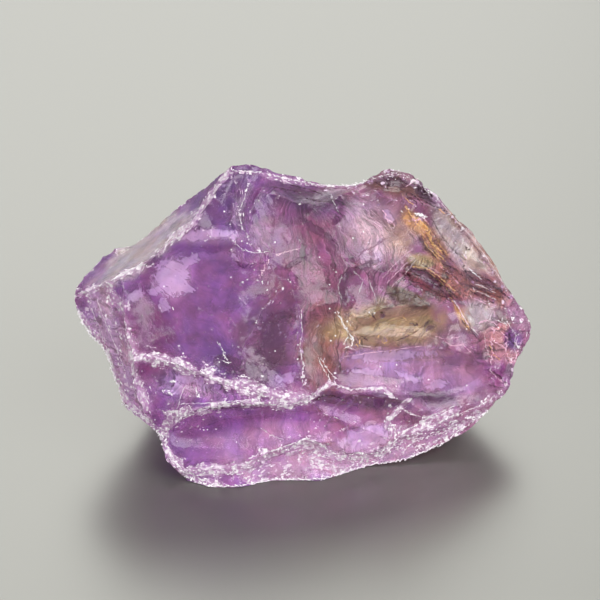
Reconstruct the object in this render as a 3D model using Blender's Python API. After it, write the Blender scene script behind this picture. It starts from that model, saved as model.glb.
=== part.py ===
"""A rough amethyst: one broken piece of clear violet quartz that rests on a flat broken face.

The stone is drawn as the net of ridges between its fracture faces. The net is laid out in one
view of the stone, from the front and a little above: the outline in that view, the ridges on
the near side and the ridges on the far side. A plain blank gives the near ridges their depth. A
film is stretched over the net, and every fracture face is then pressed in a little, the way
that quartz breaks into shallow bowls. Lengths are in millimetres: across to the right, back
from the front foot, and up from the surface that the stone rests on.
"""

import math

import bmesh
import bpy
import numpy as np
from mathutils import Vector, noise
from mathutils.bvhtree import BVHTree
from mathutils.geometry import delaunay_2d_cdt

MM = 0.001

# Driving dimensions.
LENGTH = 42.0
DEPTH = 25.5
HEIGHT = 24.8
TIP_HEIGHT = 9.0

HALF = LENGTH / 2

# The view that the net is drawn in looks straight back and down by this much.
VIEW_ELEVATION = math.radians(35.0)
ACROSS = Vector((1.0, 0.0, 0.0))
RISE = Vector((0.0, math.sin(VIEW_ELEVATION), math.cos(VIEW_ELEVATION)))
OUT = Vector((0.0, -math.cos(VIEW_ELEVATION), math.sin(VIEW_ELEVATION)))

# Corners of the blank, each (across, back, up).
BLANK = [
    # the foot
    (-9.8, 0.9, 0.0), (-8.3, 0.0, 0.0), (-2.5, 0.6, 0.0), (2.0, 0.9, 0.0), (6.5, 3.0, 0.0),
    (11.0, 8.0, 0.0), (10.0, 15.0, 0.0), (3.0, 20.0, 0.0), (-5.0, 20.0, 0.0),
    (-11.0, 14.0, 0.0), (-12.0, 6.5, 0.0),
    # the left end
    (-HALF, 11.0, 13.7), (-20.8, 10.2, 11.4), (-17.1, 7.4, 5.4), (-16.6, 6.8, 4.0),
    (-16.9, 8.3, 17.0), (-16.2, 6.2, 14.0), (-15.5, 4.8, 10.7), (-15.5, 4.4, 8.3),
    (-14.3, 3.3, 5.7), (-11.4, 1.1, 1.3), (-17.4, 16.0, 15.3), (-18.9, 15.0, 14.9),
    (-18.4, 17.6, 9.0),
    # the right end
    (HALF, 12.0, TIP_HEIGHT), (20.5, 11.0, 7.9), (19.1, 9.0, 5.8), (16.8, 7.0, 3.2),
    (14.3, 5.8, 1.6), (20.5, 12.8, 10.4), (18.9, 14.0, 12.3), (17.6, 16.0, 13.6),
    (15.6, 17.5, 16.0), (18.4, 17.0, 8.0), (16.5, 13.0, 3.0),
    # the crest
    (-13.7, 9.3, 18.8), (-10.1, 11.2, 21.3), (-7.8, 13.2, 23.6), (-6.9, 14.6, 24.7),
    (-4.9, 16.0, HEIGHT), (-8.7, 15.6, 22.7), (-11.6, 16.2, 19.7), (-14.6, 16.6, 16.6),
    (-3.8, 15.2, 23.7), (7.5, 16.5, 23.8), (9.7, 17.5, 22.6), (11.8, 18.0, 20.3),
    # the front
    (-11.6, 3.8, 11.3), (-8.0, 3.1, 10.0), (-4.6, 2.7, 9.2), (-0.4, 2.5, 8.0),
    (-10.0, 2.2, 7.1), (-5.8, 2.0, 7.8), (-1.1, 7.7, 17.4), (3.8, 3.0, 8.0), (8.8, 4.2, 5.4),
    (12.5, 5.3, 3.8), (10.6, 13.6, 19.4), (12.8, 12.0, 16.7), (14.9, 10.2, 13.5),
    (16.6, 8.8, 9.4), (18.0, 7.8, 5.7),
    # the back
    (-14.0, 22.0, 12.0), (-5.0, 25.0, 14.0), (5.0, DEPTH, 13.0), (13.0, 22.0, 11.0),
    (-12.0, 20.0, 3.0), (-4.0, 23.0, 2.5), (6.0, 23.0, 2.0), (13.0, 18.0, 2.0),
]

# The outline in the view, each corner (across, rise). The lowest corners stand on the ground.
OUTLINE = [
    (-21.0, 17.2), (-20.5, 15.2), (-19.5, 13.7), (-18.4, 12.6), (-17.0, 8.7), (-16.6, 7.2),
    (-13.4, 4.8), (-12.5, 2.3), (-10.7, 0.6), (-8.3, 0.0), (-6.1, 0.0), (-2.8, 0.6),
    (1.6, 0.6), (5.7, 1.8), (9.2, 2.3), (12.4, 3.6), (14.7, 4.8), (16.8, 6.7), (18.8, 8.7),
    (19.4, 11.1), (20.5, 12.8), (21.0, 14.3), (20.4, 15.8), (18.8, 18.0), (17.6, 20.2),
    (15.6, 23.1), (14.1, 24.5), (11.8, 26.9), (9.7, 28.5), (7.7, 28.9), (6.5, 28.5),
    (5.4, 27.7), (3.0, 27.5), (1.0, 27.7), (-1.1, 28.3), (-3.1, 28.8), (-4.9, 29.3),
    (-6.6, 29.1), (-8.7, 27.5), (-11.6, 25.4), (-13.9, 23.5), (-15.4, 22.2), (-17.4, 21.7),
    (-18.5, 21.0), (-19.5, 19.8), (-20.5, 18.7),
]
GROUND_RISE = 1.9
GROUND_REACH = 12.0

# Ridges on the near side. A corner is (across, rise, lift off the blank), or (across, rise)
# where it is a corner of the outline.
NEAR_RIDGES = {
    "upper_left_ridge": [
        (-21.0, 17.2), (-19.1, 18.1, 0.0), (-16.3, 19.2, 0.1), (-13.7, 20.7, 0.1),
        (-10.1, 23.9, 0.0), (-7.8, 26.9, 0.0), (-6.6, 29.1),
    ],
    "left_end_ridge": [
        (-16.3, 19.2, 0.1), (-16.2, 16.4, 0.1), (-16.0, 13.4, 0.0), (-15.4, 11.6, 0.0),
        (-15.5, 9.4, 0.0), (-14.5, 6.7, 0.0), (-13.4, 4.8),
    ],
    "left_end_fold": [(-19.1, 18.1, 0.0), (-18.2, 14.9, -0.3), (-17.0, 8.7)],
    "ledge_top": [
        (-15.4, 11.6, 0.0), (-11.6, 11.4, 0.0), (-8.1, 9.9, 0.1), (-4.6, 9.0, 0.0),
        (-1.7, 8.2, -0.1), (0.1, 7.9, -0.4),
    ],
    "ledge_lip": [
        (-13.4, 4.8), (-10.0, 7.1, 0.3), (-5.8, 7.6, 0.1), (-1.4, 7.5, -0.2), (0.1, 7.9, -0.4),
    ],
    "lower_hollow_lip": [
        (-12.5, 2.3), (-10.8, 1.5, 0.0), (-8.2, 1.7, 0.0), (-5.4, 2.2, 0.1), (-3.1, 3.3, 0.1),
        (0.1, 4.4, -0.1), (2.4, 4.2, 0.0), (4.4, 3.1, 0.0), (6.2, 3.1, 0.0), (7.9, 4.3, 0.0),
        (11.6, 5.2, 0.0), (15.0, 6.6, 0.0), (17.6, 8.2, 0.0), (18.8, 8.7),
    ],
    "lower_hollow_top": [(0.1, 7.9, -0.4), (1.9, 6.5, -0.3), (4.7, 5.5, -0.2), (7.9, 4.3, 0.0)],
    "lower_lens": [(0.1, 4.4, -0.1), (1.3, 5.5, -0.6), (4.7, 5.5, -0.2)],
    "dark_band_top": [
        (0.1, 7.9, -0.4), (2.4, 9.0, -0.1), (5.3, 8.5, 0.0), (8.8, 7.9, 0.0), (12.5, 6.4, 0.0),
    ],
    "dark_band_foot": [
        (0.1, 7.9, -0.4), (2.4, 7.1, -0.9), (5.3, 7.3, -0.7), (8.3, 6.4, -0.6),
        (12.5, 6.4, 0.0), (17.6, 8.2, 0.0),
    ],
    "column_right": [
        (-3.1, 28.8), (-3.9, 26.8, -0.2), (-4.8, 24.7, -0.4), (-5.1, 22.7, -0.6),
        (-3.5, 20.4, -0.6), (-1.1, 18.5, -0.5), (-0.4, 15.1, -0.6), (-0.2, 11.4, -0.6),
        (0.1, 7.9, -0.4),
    ],
    "column_left": [
        (-4.9, 29.3), (-6.1, 26.5, -0.2), (-6.8, 22.7, -0.5), (-5.6, 20.4, -0.7),
        (-3.5, 20.4, -0.6),
    ],
    "upper_face_foot": [(-10.1, 23.9, 0.0), (-8.4, 22.6, -0.4), (-6.8, 22.7, -0.5)],
    "dusk_face_left": [
        (-1.1, 18.5, -0.5), (-3.9, 16.0, -0.7), (-5.6, 12.3, -0.6), (-4.6, 9.0, 0.0),
    ],
    "saddle_band": [(-3.9, 26.8, -0.2), (-0.4, 25.7, -0.3), (2.8, 26.1, -0.3), (5.4, 27.7)],
    "centre_fold": [
        (2.8, 26.1, -0.3), (2.4, 23.8, -0.5), (3.8, 20.4, -0.6), (4.2, 16.9, -0.7),
        (4.0, 14.9, -0.7), (3.8, 12.6, -0.2),
    ],
    "maroon_top": [(-0.4, 15.1, -0.6), (1.7, 16.6, -0.8), (4.2, 16.9, -0.7)],
    "pink_face_left": [(3.8, 12.6, -0.2), (2.4, 9.0, -0.1)],
    "pink_face_top": [
        (3.8, 12.6, -0.2), (8.3, 12.7, 0.0), (12.7, 12.6, 0.0), (16.0, 12.1, 0.0),
        (17.2, 10.3, 0.0), (17.6, 8.2, 0.0),
    ],
    "olive_top": [
        (4.0, 14.9, -0.7), (7.7, 16.3, -0.8), (11.6, 16.5, -0.8), (13.6, 14.9, -0.4),
        (12.7, 12.6, 0.0),
    ],
    "brown_lens": [(7.7, 16.3, -0.8), (9.5, 17.8, -0.9), (11.6, 16.5, -0.8)],
    "step_1": [(9.5, 17.8, -0.9), (11.7, 18.1, -0.7), (13.9, 16.7, -0.3)],
    "step_2": [(7.4, 19.6, -0.7), (9.9, 19.4, -0.6), (12.3, 19.1, -0.3), (14.5, 16.9, 0.0)],
    "step_foot": [(13.6, 14.9, -0.4), (15.8, 14.4, 0.0)],
    "fan_left": [(3.8, 20.4, -0.6), (7.4, 19.6, -0.7), (9.5, 17.8, -0.9)],
    "window_left": [
        (9.0, 26.0, 0.0), (10.5, 23.7, -0.2), (12.3, 20.7, -0.1), (14.5, 16.9, 0.0),
        (15.8, 14.4, 0.0), (16.0, 12.1, 0.0),
    ],
    "knob_foot": [
        (5.4, 27.7), (7.0, 26.4, -0.2), (9.0, 26.0, 0.0), (11.7, 25.4, 0.0), (14.1, 24.5),
    ],
    "window_foot": [(14.5, 16.9, 0.0), (16.3, 18.1, 0.0), (18.8, 18.0)],
    "tip_ridge": [(15.8, 14.4, 0.0), (18.0, 13.9, 0.0), (21.0, 14.3)],
    "tip_foot": [(18.0, 13.9, 0.0), (18.4, 11.2, 0.0), (17.2, 10.3, 0.0)],
}

# Ridges on the far side and underneath. A corner is (across, back, up), or (across, rise) where
# it is a corner of the outline.
FAR_RIDGES = {
    "base": [
        (5.7, 1.8), (9.6, 7.4, 0.0), (9.8, 13.0, 0.0), (4.0, 17.8, 0.0), (-4.6, 18.6, 0.0),
        (-10.6, 14.2, 0.0), (-12.3, 7.0, 0.0), (-10.7, 0.6),
    ],
    "left_under": [(-12.3, 7.0, 0.0), (-16.2, 10.6, 4.6), (-18.6, 13.6, 9.2), (-20.5, 18.7)],
    "left_foot": [(-17.0, 8.7), (-16.2, 10.6, 4.6), (-14.2, 15.6, 3.4), (-10.6, 14.2, 0.0)],
    "left_back": [(-14.2, 15.6, 3.4), (-15.4, 19.2, 9.4), (-13.4, 20.6, 13.2), (-15.4, 22.2)],
    "back_left": [
        (-4.6, 18.6, 0.0), (-6.4, 21.8, 3.6), (-4.4, 24.6, 10.8), (-5.6, 22.0, 18.4),
        (-4.9, 29.3),
    ],
    "waist_left": [(-15.4, 19.2, 9.4), (-9.6, 23.0, 12.2), (-4.4, 24.6, 10.8)],
    "waist_right": [
        (-4.4, 24.6, 10.8), (1.6, DEPTH, 13.4), (8.2, 24.4, 10.8), (14.2, 21.2, 11.0),
        (18.4, 17.4, 9.6), (20.4, 15.8),
    ],
    "low_back": [(-6.4, 21.8, 3.6), (0.4, 23.4, 4.2), (7.2, 21.8, 2.6), (9.8, 13.0, 0.0)],
    "back_rib": [(7.2, 21.8, 2.6), (8.2, 24.4, 10.8), (9.8, 21.0, 17.8), (9.7, 28.5)],
    "right_under": [(9.6, 7.4, 0.0), (13.4, 8.6, 1.8), (17.6, 12.2, 4.6), (18.4, 17.4, 9.6)],
    "right_foot": [(13.4, 8.6, 1.8), (14.7, 4.8)],
    "right_back": [(7.2, 21.8, 2.6), (13.6, 17.4, 3.6), (17.6, 12.2, 4.6)],
    "right_end": [(17.6, 12.2, 4.6), (20.5, 12.8)],
    "right_shoulder": [(14.2, 21.2, 11.0), (14.2, 20.4, 13.2), (15.6, 23.1)],
}

# Fracture faces that are pressed in by a given depth: name, side, across, rise, depth. The
# others are pressed in by a share of their width.
FACES = [
    ("base", "far", -2.0, 5.0, 0.0),
    ("main_face", "near", -9.0, 16.0, 1.5),
    ("lower_hollow", "near", -5.5, 5.0, 1.5),
    ("olive_bowl", "near", 9.0, 14.6, 1.1),
    ("clear_window", "near", 14.5, 22.0, 1.0),
    ("glassy_strip", "near", -12.2, 24.0, 0.35),
]
BOWL = 0.085  # depth of any other face, in the root of its area
FULLNESS = 0.8  # less than 1 makes a bowl flatter in the middle and steeper at its rim

# How the net is filled, and how far its ridges wander: a frequency and a reach each.
STEP = 0.75  # distance between points of a ridge
GRID = 0.95  # distance between points within a face
SCATTER = 0.3  # how far those points stray, as a share of their distance
SCATTER_FREQUENCY = 1.3
CLEARANCE = 0.5  # how far they stay off a ridge, as a share of their distance
LONGEST = 1.7  # longest edge that is left in a face
RIDGE_WANDER = ((0.7, 0.36), (2.3, 0.18))
OUTLINE_WANDER = ((0.9, 0.12), (2.6, 0.10))
EASE = 3  # the wander sets in over this part of a stretch, a third, at both of its ends
STRAY_SHIFTS = ((3.1, 7.7, 1.9), (11.3, 2.3, 5.9), (6.7, 13.1, 9.1))
JOIN = 0.3  # corners closer than this in the view are one corner
SAME = 1e-4  # points closer than this are the same point
TINY = 1e-6  # what counts as nothing
MERGE = 1e-5  # points closer than this are merged as the net is filled
HULL_TRIANGLES = 1  # the filler's number for triangles over all that the ridges enclose
CHORD_ROUNDS = 6  # times that edges across the outline are looked for and broken up
SPLIT_ROUNDS = 4  # times that long edges are looked for and split
FILM_STEPS = 700  # rounds in which the film draws tight
SHARP = math.radians(20)  # edges steeper than this are sharp


def clear_scene():
    for old in list(bpy.data.objects):
        bpy.data.objects.remove(old, do_unlink=True)


def collection(name):
    made = bpy.data.collections.new(name)
    bpy.context.scene.collection.children.link(made)
    return made


def amethyst_material():
    material = bpy.data.materials.new("amethyst")
    material.use_nodes = True
    shader = material.node_tree.nodes["Principled BSDF"]
    shader.inputs["Base Color"].default_value = (0.45, 0.25, 0.62, 1.0)
    shader.inputs["Roughness"].default_value = 0.12
    shader.inputs["Metallic"].default_value = 0.0
    shader.inputs["IOR"].default_value = 1.544
    shader.inputs["Transmission Weight"].default_value = 0.9
    return material


def blank():
    """The surface of the hull of the blank's corners."""
    form = bmesh.new()
    for corner in BLANK:
        form.verts.new(corner)
    bmesh.ops.convex_hull(form, input=form.verts)
    bmesh.ops.recalc_face_normals(form, faces=form.faces)
    surface = BVHTree.FromBMesh(form)
    form.free()
    return surface


def flat(place):
    """A place as it is seen in the view."""
    return Vector((place.dot(ACROSS), place.dot(RISE)))


def at(across, rise, depth):
    return ACROSS * across + RISE * rise + OUT * depth


def sight(surface, across, rise, side):
    """Where the line of sight meets a surface, from the near side (1) or the far side (-1)."""
    place, facing, index, _ = surface.ray_cast(at(across, rise, 3 * LENGTH * side), -OUT * side)
    return place, facing, index


def outline_place(surface, across, rise):
    if rise < GROUND_RISE and abs(across) < GROUND_REACH:
        return Vector((across, rise / math.sin(VIEW_ELEVATION), 0.0))
    near, _, _ = sight(surface, across, rise, 1)
    far, _, _ = sight(surface, across, rise, -1)
    if near is not None and far is not None:
        return (near + far) / 2
    line = [at(across, rise, step / 2) for step in range(round(-2 * LENGTH), round(2 * LENGTH))]
    spot = min(line, key=lambda place: surface.find_nearest(place)[3])
    return at(across, rise, surface.find_nearest(spot)[0].dot(OUT))


def stray(place):
    """A smooth random direction and length at a place, the same in every run."""
    return Vector([noise.noise(place + Vector(shift)) for shift in STRAY_SHIFTS])


def wander(place, strengths):
    """How far a broken edge strays at a place."""
    total = Vector((0.0, 0.0, 0.0))
    for frequency, reach in strengths:
        total += stray(place * frequency) * reach
    return total


def broken_line(corners, strengths):
    """Places along a ridge from corner to corner, with the corners themselves."""
    places = [corners[0]]
    for start, end in zip(corners, corners[1:]):
        count = max(1, round((end - start).length / STEP))
        for step in range(1, count):
            share = step / count
            place = start.lerp(end, share)
            ease = min(1.0, EASE * share, EASE * (1 - share))
            place = place + wander(place, strengths) * ease
            if abs(start.z) < TINY and abs(end.z) < TINY:
                place.z = 0.0
            places.append(place)
        places.append(end)
    return places


def joined(place, corners):
    """The corner that a place belongs to, or the place itself as a new corner."""
    spot = flat(place)
    for known in corners:
        if (flat(known) - spot).length < JOIN:
            return known
    corners.append(place)
    return place


class Net:
    """The points and ridges of one side, as they are seen in the view."""

    def __init__(self, loop):
        self.places = list(loop)
        self.points = [flat(place) for place in loop]
        self.ridges = [(i, (i + 1) % len(loop)) for i in range(len(loop))]
        self.loop = len(loop)

    def index(self, place):
        spot = flat(place)
        for number, point in enumerate(self.points):
            if (point - spot).length < SAME:
                return number
        self.points.append(spot)
        self.places.append(place)
        return len(self.points) - 1

    def add(self, places):
        loop = self.points[: self.loop]
        inner = [place for place in places[1:-1] if inside(flat(place), loop)]
        numbers = [self.index(place) for place in places[:1] + inner + places[-1:]]
        self.ridges += list(zip(numbers, numbers[1:]))


def inside(point, loop):
    crossings = 0
    for start, end in zip(loop, loop[1:] + loop[:1]):
        if (start.y > point.y) != (end.y > point.y):
            share = (point.y - start.y) / (end.y - start.y)
            crossings += point.x < start.x + share * (end.x - start.x)
    return crossings % 2 == 1


def spread(net):
    """Points within the faces of a net, clear of its ridges."""
    starts = np.array([net.points[a] for a, _ in net.ridges])
    ends = np.array([net.points[b] for _, b in net.ridges])
    along = ends - starts
    squares = np.maximum((along**2).sum(axis=1), TINY**2)
    loop = net.points[: net.loop]
    row = 0
    rise = min(point.y for point in loop)
    top = max(point.y for point in loop)
    found = []
    while rise < top:
        across = -HALF + (GRID / 2 if row % 2 else 0.0)
        while across < HALF:
            shift = stray(Vector((across, rise, 0.0)) * SCATTER_FREQUENCY) * GRID * SCATTER
            point = Vector((across + shift.x, rise + shift.y))
            offset = np.array(point) - starts
            share = np.clip((offset * along).sum(axis=1) / squares, 0, 1)
            gap = np.sqrt(((offset - along * share[:, None]) ** 2).sum(axis=1)).min()
            if gap > GRID * CLEARANCE and inside(point, loop):
                found.append(point)
            across += GRID
        rise += GRID * math.sqrt(3) / 2
        row += 1
    return found


def laid_out(net):
    """The triangles of a net. No edge but the outline's own joins two points of the outline."""
    points = net.points + spread(net)
    loop = net.points[: net.loop]
    for _ in range(CHORD_ROUNDS):
        places, edges, faces, sources, edge_sources, _ = delaunay_2d_cdt(
            points, net.ridges, [], HULL_TRIANGLES, MERGE, True
        )
        middles = [(places[a] + places[b] + places[c]) / 3 for a, b, c in faces]
        faces = [face for face, middle in zip(faces, middles) if inside(middle, loop)]
        rim = [min([s for s in found if s < net.loop], default=None) for found in sources]
        chords = []
        for a, b in edges:
            if rim[a] is None or rim[b] is None or abs(rim[a] - rim[b]) in (1, net.loop - 1):
                continue
            middle = (places[a] + places[b]) / 2
            if inside(middle, loop):
                chords.append(middle)
        if not chords:
            break
        points = points + chords
    return places, edges, faces, sources, edge_sources, rim


def side_faces(form, net, surface, side, shared):
    """Adds the triangles of one side to the form. Its ridges are marked as seams."""
    places, edges, faces, sources, edge_sources, rim = laid_out(net)
    corners = []
    for point, found, on_rim in zip(places, sources, rim):
        given = [source for source in found if source < len(net.places)]
        if on_rim is not None:
            corners.append(shared[on_rim])
        elif given:
            corners.append(form.verts.new(net.places[given[0]]))
        else:
            place, _, _ = sight(surface, point.x, point.y, side)
            corners.append(form.verts.new(place or outline_place(surface, point.x, point.y)))
    for face in faces:
        form.faces.new([corners[number] for number in face])
    for (a, b), found in zip(edges, edge_sources):
        edge = form.edges.get((corners[a], corners[b]))
        if found and edge is not None:
            edge.seam = True


def shorten(form):
    """Splits long edges, so that the film has points enough everywhere."""
    for _ in range(SPLIT_ROUNDS):
        long = [edge for edge in form.edges if edge.calc_length() > LONGEST]
        if not long:
            return
        bmesh.ops.subdivide_edges(form, edges=long, cuts=1)
        bmesh.ops.triangulate(form, faces=[f for f in form.faces if len(f.verts) > 3])
        inner = [edge for edge in form.edges if not edge.seam]
        bmesh.ops.beautify_fill(form, faces=form.faces, edges=inner)


def links(form):
    form.verts.ensure_lookup_table()
    form.verts.index_update()
    pairs = np.array([[v.index for v in edge.verts] for edge in form.edges])
    fixed = np.zeros(len(form.verts), dtype=bool)
    for edge in form.edges:
        if edge.seam:
            for vertex in edge.verts:
                fixed[vertex.index] = True
    return pairs, fixed


def mean_of_neighbours(values, pairs, counts):
    total = np.zeros_like(values)
    np.add.at(total, pairs[:, 0], values[pairs[:, 1]])
    np.add.at(total, pairs[:, 1], values[pairs[:, 0]])
    return total / counts.reshape((-1,) + (1,) * (values.ndim - 1))


def stretch(form):
    """Draws the film tight between the ridges."""
    pairs, fixed = links(form)
    counts = np.bincount(pairs.ravel(), minlength=len(form.verts))
    places = np.array([vertex.co for vertex in form.verts])
    for _ in range(FILM_STEPS):
        drawn = mean_of_neighbours(places, pairs, counts)
        places[~fixed] = drawn[~fixed]
    for vertex, place in zip(form.verts, places):
        vertex.co = place


def regions(form):
    """The number of the fracture face that each triangle belongs to."""
    form.faces.ensure_lookup_table()
    form.faces.index_update()
    number = [-1] * len(form.faces)
    count = 0
    for first in form.faces:
        if number[first.index] >= 0:
            continue
        waiting = [first]
        number[first.index] = count
        while waiting:
            face = waiting.pop()
            for edge in face.edges:
                if edge.seam:
                    continue
                for other in edge.link_faces:
                    if number[other.index] < 0:
                        number[other.index] = count
                        waiting.append(other)
        count += 1
    return number, count


def press(form):
    """Presses every fracture face in, deepest in its middle."""
    number, count = regions(form)
    area = [0.0] * count
    facing = [Vector((0.0, 0.0, 0.0)) for _ in range(count)]
    for face in form.faces:
        size = face.calc_area()
        area[number[face.index]] += size
        facing[number[face.index]] += face.normal * size
    depth = [BOWL * math.sqrt(size) for size in area]
    surface = BVHTree.FromBMesh(form)
    for name, side, across, rise, given in FACES:
        _, _, hit = sight(surface, across, rise, 1 if side == "near" else -1)
        depth[number[hit]] = given
        print(f"{name}: {area[number[hit]]:.0f} mm2, pressed in {given} mm")
    pairs, fixed = links(form)
    counts = np.bincount(pairs.ravel(), minlength=len(form.verts))
    bowl = np.zeros(len(form.verts))
    for _ in range(FILM_STEPS):
        bowl = mean_of_neighbours(bowl, pairs, counts) + 1.0
        bowl[fixed] = 0.0
    home = [-1] * len(form.verts)
    for face in form.faces:
        for vertex in face.verts:
            home[vertex.index] = number[face.index]
    deepest = [TINY] * count
    for vertex in form.verts:
        deepest[home[vertex.index]] = max(deepest[home[vertex.index]], bowl[vertex.index])
    for vertex in form.verts:
        if fixed[vertex.index]:
            continue
        region = home[vertex.index]
        share = (bowl[vertex.index] / deepest[region]) ** FULLNESS
        vertex.co -= facing[region].normalized() * (depth[region] * share)
    print(f"{count} fracture faces")


def settle(form):
    """Turns millimetres into metres, with the origin at the middle of the box's underside."""
    places = [vertex.co for vertex in form.verts]
    low = Vector([min(place[axis] for place in places) for axis in range(3)])
    high = Vector([max(place[axis] for place in places) for axis in range(3)])
    middle = (low + high) / 2
    bmesh.ops.translate(form, vec=(-middle.x, -middle.y, -low.z), verts=form.verts)
    bmesh.ops.scale(form, vec=(MM, MM, MM), verts=form.verts)


def build():
    clear_scene()
    parts = collection("rough_amethyst")
    surface = blank()
    corners = [outline_place(surface, *corner) for corner in OUTLINE]
    loop = broken_line(corners + corners[:1], OUTLINE_WANDER)[:-1]
    form = bmesh.new()
    shared = [form.verts.new(place) for place in loop]
    for side, ridges in ((1, NEAR_RIDGES), (-1, FAR_RIDGES)):
        net = Net(loop)
        known = list(corners)
        for ridge in ridges.values():
            places = []
            for corner in ridge:
                if len(corner) == 2:
                    place = min(corners, key=lambda rim: (flat(rim) - Vector(corner)).length)
                elif side == 1:
                    hit, facing, _ = sight(surface, corner[0], corner[1], 1)
                    place = hit + facing * corner[2]
                else:
                    place = Vector(corner)
                places.append(joined(place, known))
            net.add(broken_line(places, RIDGE_WANDER))
        side_faces(form, net, surface, side, shared)
    bmesh.ops.recalc_face_normals(form, faces=form.faces)
    shorten(form)
    stretch(form)
    form.normal_update()
    press(form)
    settle(form)
    bmesh.ops.recalc_face_normals(form, faces=form.faces)
    mesh = bpy.data.meshes.new("amethyst")
    form.to_mesh(mesh)
    form.free()
    made = bpy.data.objects.new("amethyst", mesh)
    parts.objects.link(made)
    mesh.materials.append(amethyst_material())
    mesh.shade_smooth()
    mesh.set_sharp_from_angle(angle=SHARP)
    return made


build()
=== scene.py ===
# %% [markdown]
# # A rough amethyst
#
# Amethyst is violet quartz. This piece has no crystal faces left. It broke out of a larger
# crystal, and quartz breaks like glass, in shallow bowls that meet in sharp ridges. The faces
# are glossy and see-through, the ridges are chipped and frosty, and the colour changes from
# violet on the left to smoke, olive and clear on the right.
#
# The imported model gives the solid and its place. Everything here is made around it.

# %% Load the frame
import math

import bmesh
import bpy
import numpy as np
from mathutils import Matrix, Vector, kdtree, noise


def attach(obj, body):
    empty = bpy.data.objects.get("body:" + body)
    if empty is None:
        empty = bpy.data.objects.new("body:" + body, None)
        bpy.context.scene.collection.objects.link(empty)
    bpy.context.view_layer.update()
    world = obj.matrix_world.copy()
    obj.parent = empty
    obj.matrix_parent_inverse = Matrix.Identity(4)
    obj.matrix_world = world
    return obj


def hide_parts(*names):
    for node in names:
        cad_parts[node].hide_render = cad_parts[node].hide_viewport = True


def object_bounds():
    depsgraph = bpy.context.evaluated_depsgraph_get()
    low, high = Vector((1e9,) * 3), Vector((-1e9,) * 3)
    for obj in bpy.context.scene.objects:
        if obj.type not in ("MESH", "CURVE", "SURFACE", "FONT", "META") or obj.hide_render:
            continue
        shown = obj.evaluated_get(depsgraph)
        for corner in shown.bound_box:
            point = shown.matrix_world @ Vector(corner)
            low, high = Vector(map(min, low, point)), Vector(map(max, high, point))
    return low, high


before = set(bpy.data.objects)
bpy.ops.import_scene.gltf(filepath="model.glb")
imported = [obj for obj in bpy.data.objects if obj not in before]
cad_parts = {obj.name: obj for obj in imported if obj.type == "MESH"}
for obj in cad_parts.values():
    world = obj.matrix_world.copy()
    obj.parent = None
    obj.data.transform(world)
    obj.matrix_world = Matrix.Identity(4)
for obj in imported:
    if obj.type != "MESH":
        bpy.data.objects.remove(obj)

MM = 0.001
cad_low, cad_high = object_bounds()
stone_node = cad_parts["amethyst"]
print("solid:", [round(size / MM, 1) for size in cad_high - cad_low], "mm")

# %% [markdown]
# ## The view
#
# The stone is looked at from the front and a little above. Places on it are easiest to give as
# they are seen from there: so far across, and so far up in the view. Both are in millimetres,
# from the front foot of the stone. The colours and the frost below are placed that way.

# %% A view from the front and above
ELEVATION = math.radians(35.0)
ACROSS = np.array((1.0, 0.0, 0.0))
RISE = np.array((0.0, math.sin(ELEVATION), math.cos(ELEVATION)))
OUT = np.array((0.0, -math.cos(ELEVATION), math.sin(ELEVATION)))
FRONT_FOOT = np.array(((cad_low.x + cad_high.x) / 2, cad_low.y, 0.0))


def in_view(places):
    """Across and rise of each place, in millimetres."""
    offset = (places - FRONT_FOOT) / MM
    return np.stack((offset @ ACROSS, offset @ RISE), axis=1)


# %% Camera
LENS = 200.0
SENSOR = 36.0
DISTANCE = 0.3055
TARGET = Vector((-0.0004, 0.0, 0.0118))
NEAREST_SEEN = 0.01
FURTHEST_SEEN = 10.0

camera_data = bpy.data.cameras.new("camera")
camera_data.lens = LENS
camera_data.sensor_width = SENSOR
camera_data.clip_start = NEAREST_SEEN
camera_data.clip_end = FURTHEST_SEEN
camera = bpy.data.objects.new("camera", camera_data)
bpy.context.scene.collection.objects.link(camera)
camera.location = TARGET + Vector(OUT) * DISTANCE
camera.rotation_euler = (-Vector(OUT)).to_track_quat("-Z", "Y").to_euler()
bpy.context.scene.camera = camera
print("camera", [round(place, 4) for place in camera.location])

# %% [markdown]
# ## Floor and light
#
# A clear stone shows what is around it, bent and tinted. The floor is pale with a soft gloss,
# so that it mirrors the stone a little. One large soft light stands behind and shines through
# the stone, one in front lights its faces, and a low one at the left catches the frost.

# %% Floor and lights


def new_material(name, values):
    """A material, its tree and its shader, with values for the shader's sockets."""
    material = bpy.data.materials.new(name)
    material.use_nodes = True
    shader = material.node_tree.nodes["Principled BSDF"]
    for socket, value in values.items():
        shader.inputs[socket].default_value = value
    return material, material.node_tree, shader


FLOOR_LOOK = {"Base Color": (0.20, 0.20, 0.183, 1.0), "Metallic": 0.75, "Roughness": 0.30}
FLOOR_REACH = 1.5
FLOOR_DROP = 0.00005

floor_material, _, _ = new_material("pale_floor", FLOOR_LOOK)
form = bmesh.new()
bmesh.ops.create_grid(form, x_segments=1, y_segments=1, size=FLOOR_REACH)
floor_mesh = bpy.data.meshes.new("floor")
form.to_mesh(floor_mesh)
form.free()
floor_mesh.materials.append(floor_material)
floor = bpy.data.objects.new("floor", floor_mesh)
floor.location.z = -FLOOR_DROP
bpy.context.scene.collection.objects.link(floor)


def soft_light(name, place, size, watts):
    data = bpy.data.lights.new(name, "AREA")
    data.shape = "SQUARE"
    data.size = size
    data.energy = watts
    light = bpy.data.objects.new(name, data)
    light.location = place
    light.rotation_euler = (TARGET - Vector(place)).to_track_quat("-Z", "Y").to_euler()
    bpy.context.scene.collection.objects.link(light)


soft_light("back", (-0.10, 0.78, 0.52), 0.60, 2.8)
soft_light("front", (0.50, -0.34, 0.62), 0.75, 7.0)
soft_light("low left", (-0.62, -0.50, 0.26), 0.50, 2.6)

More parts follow.
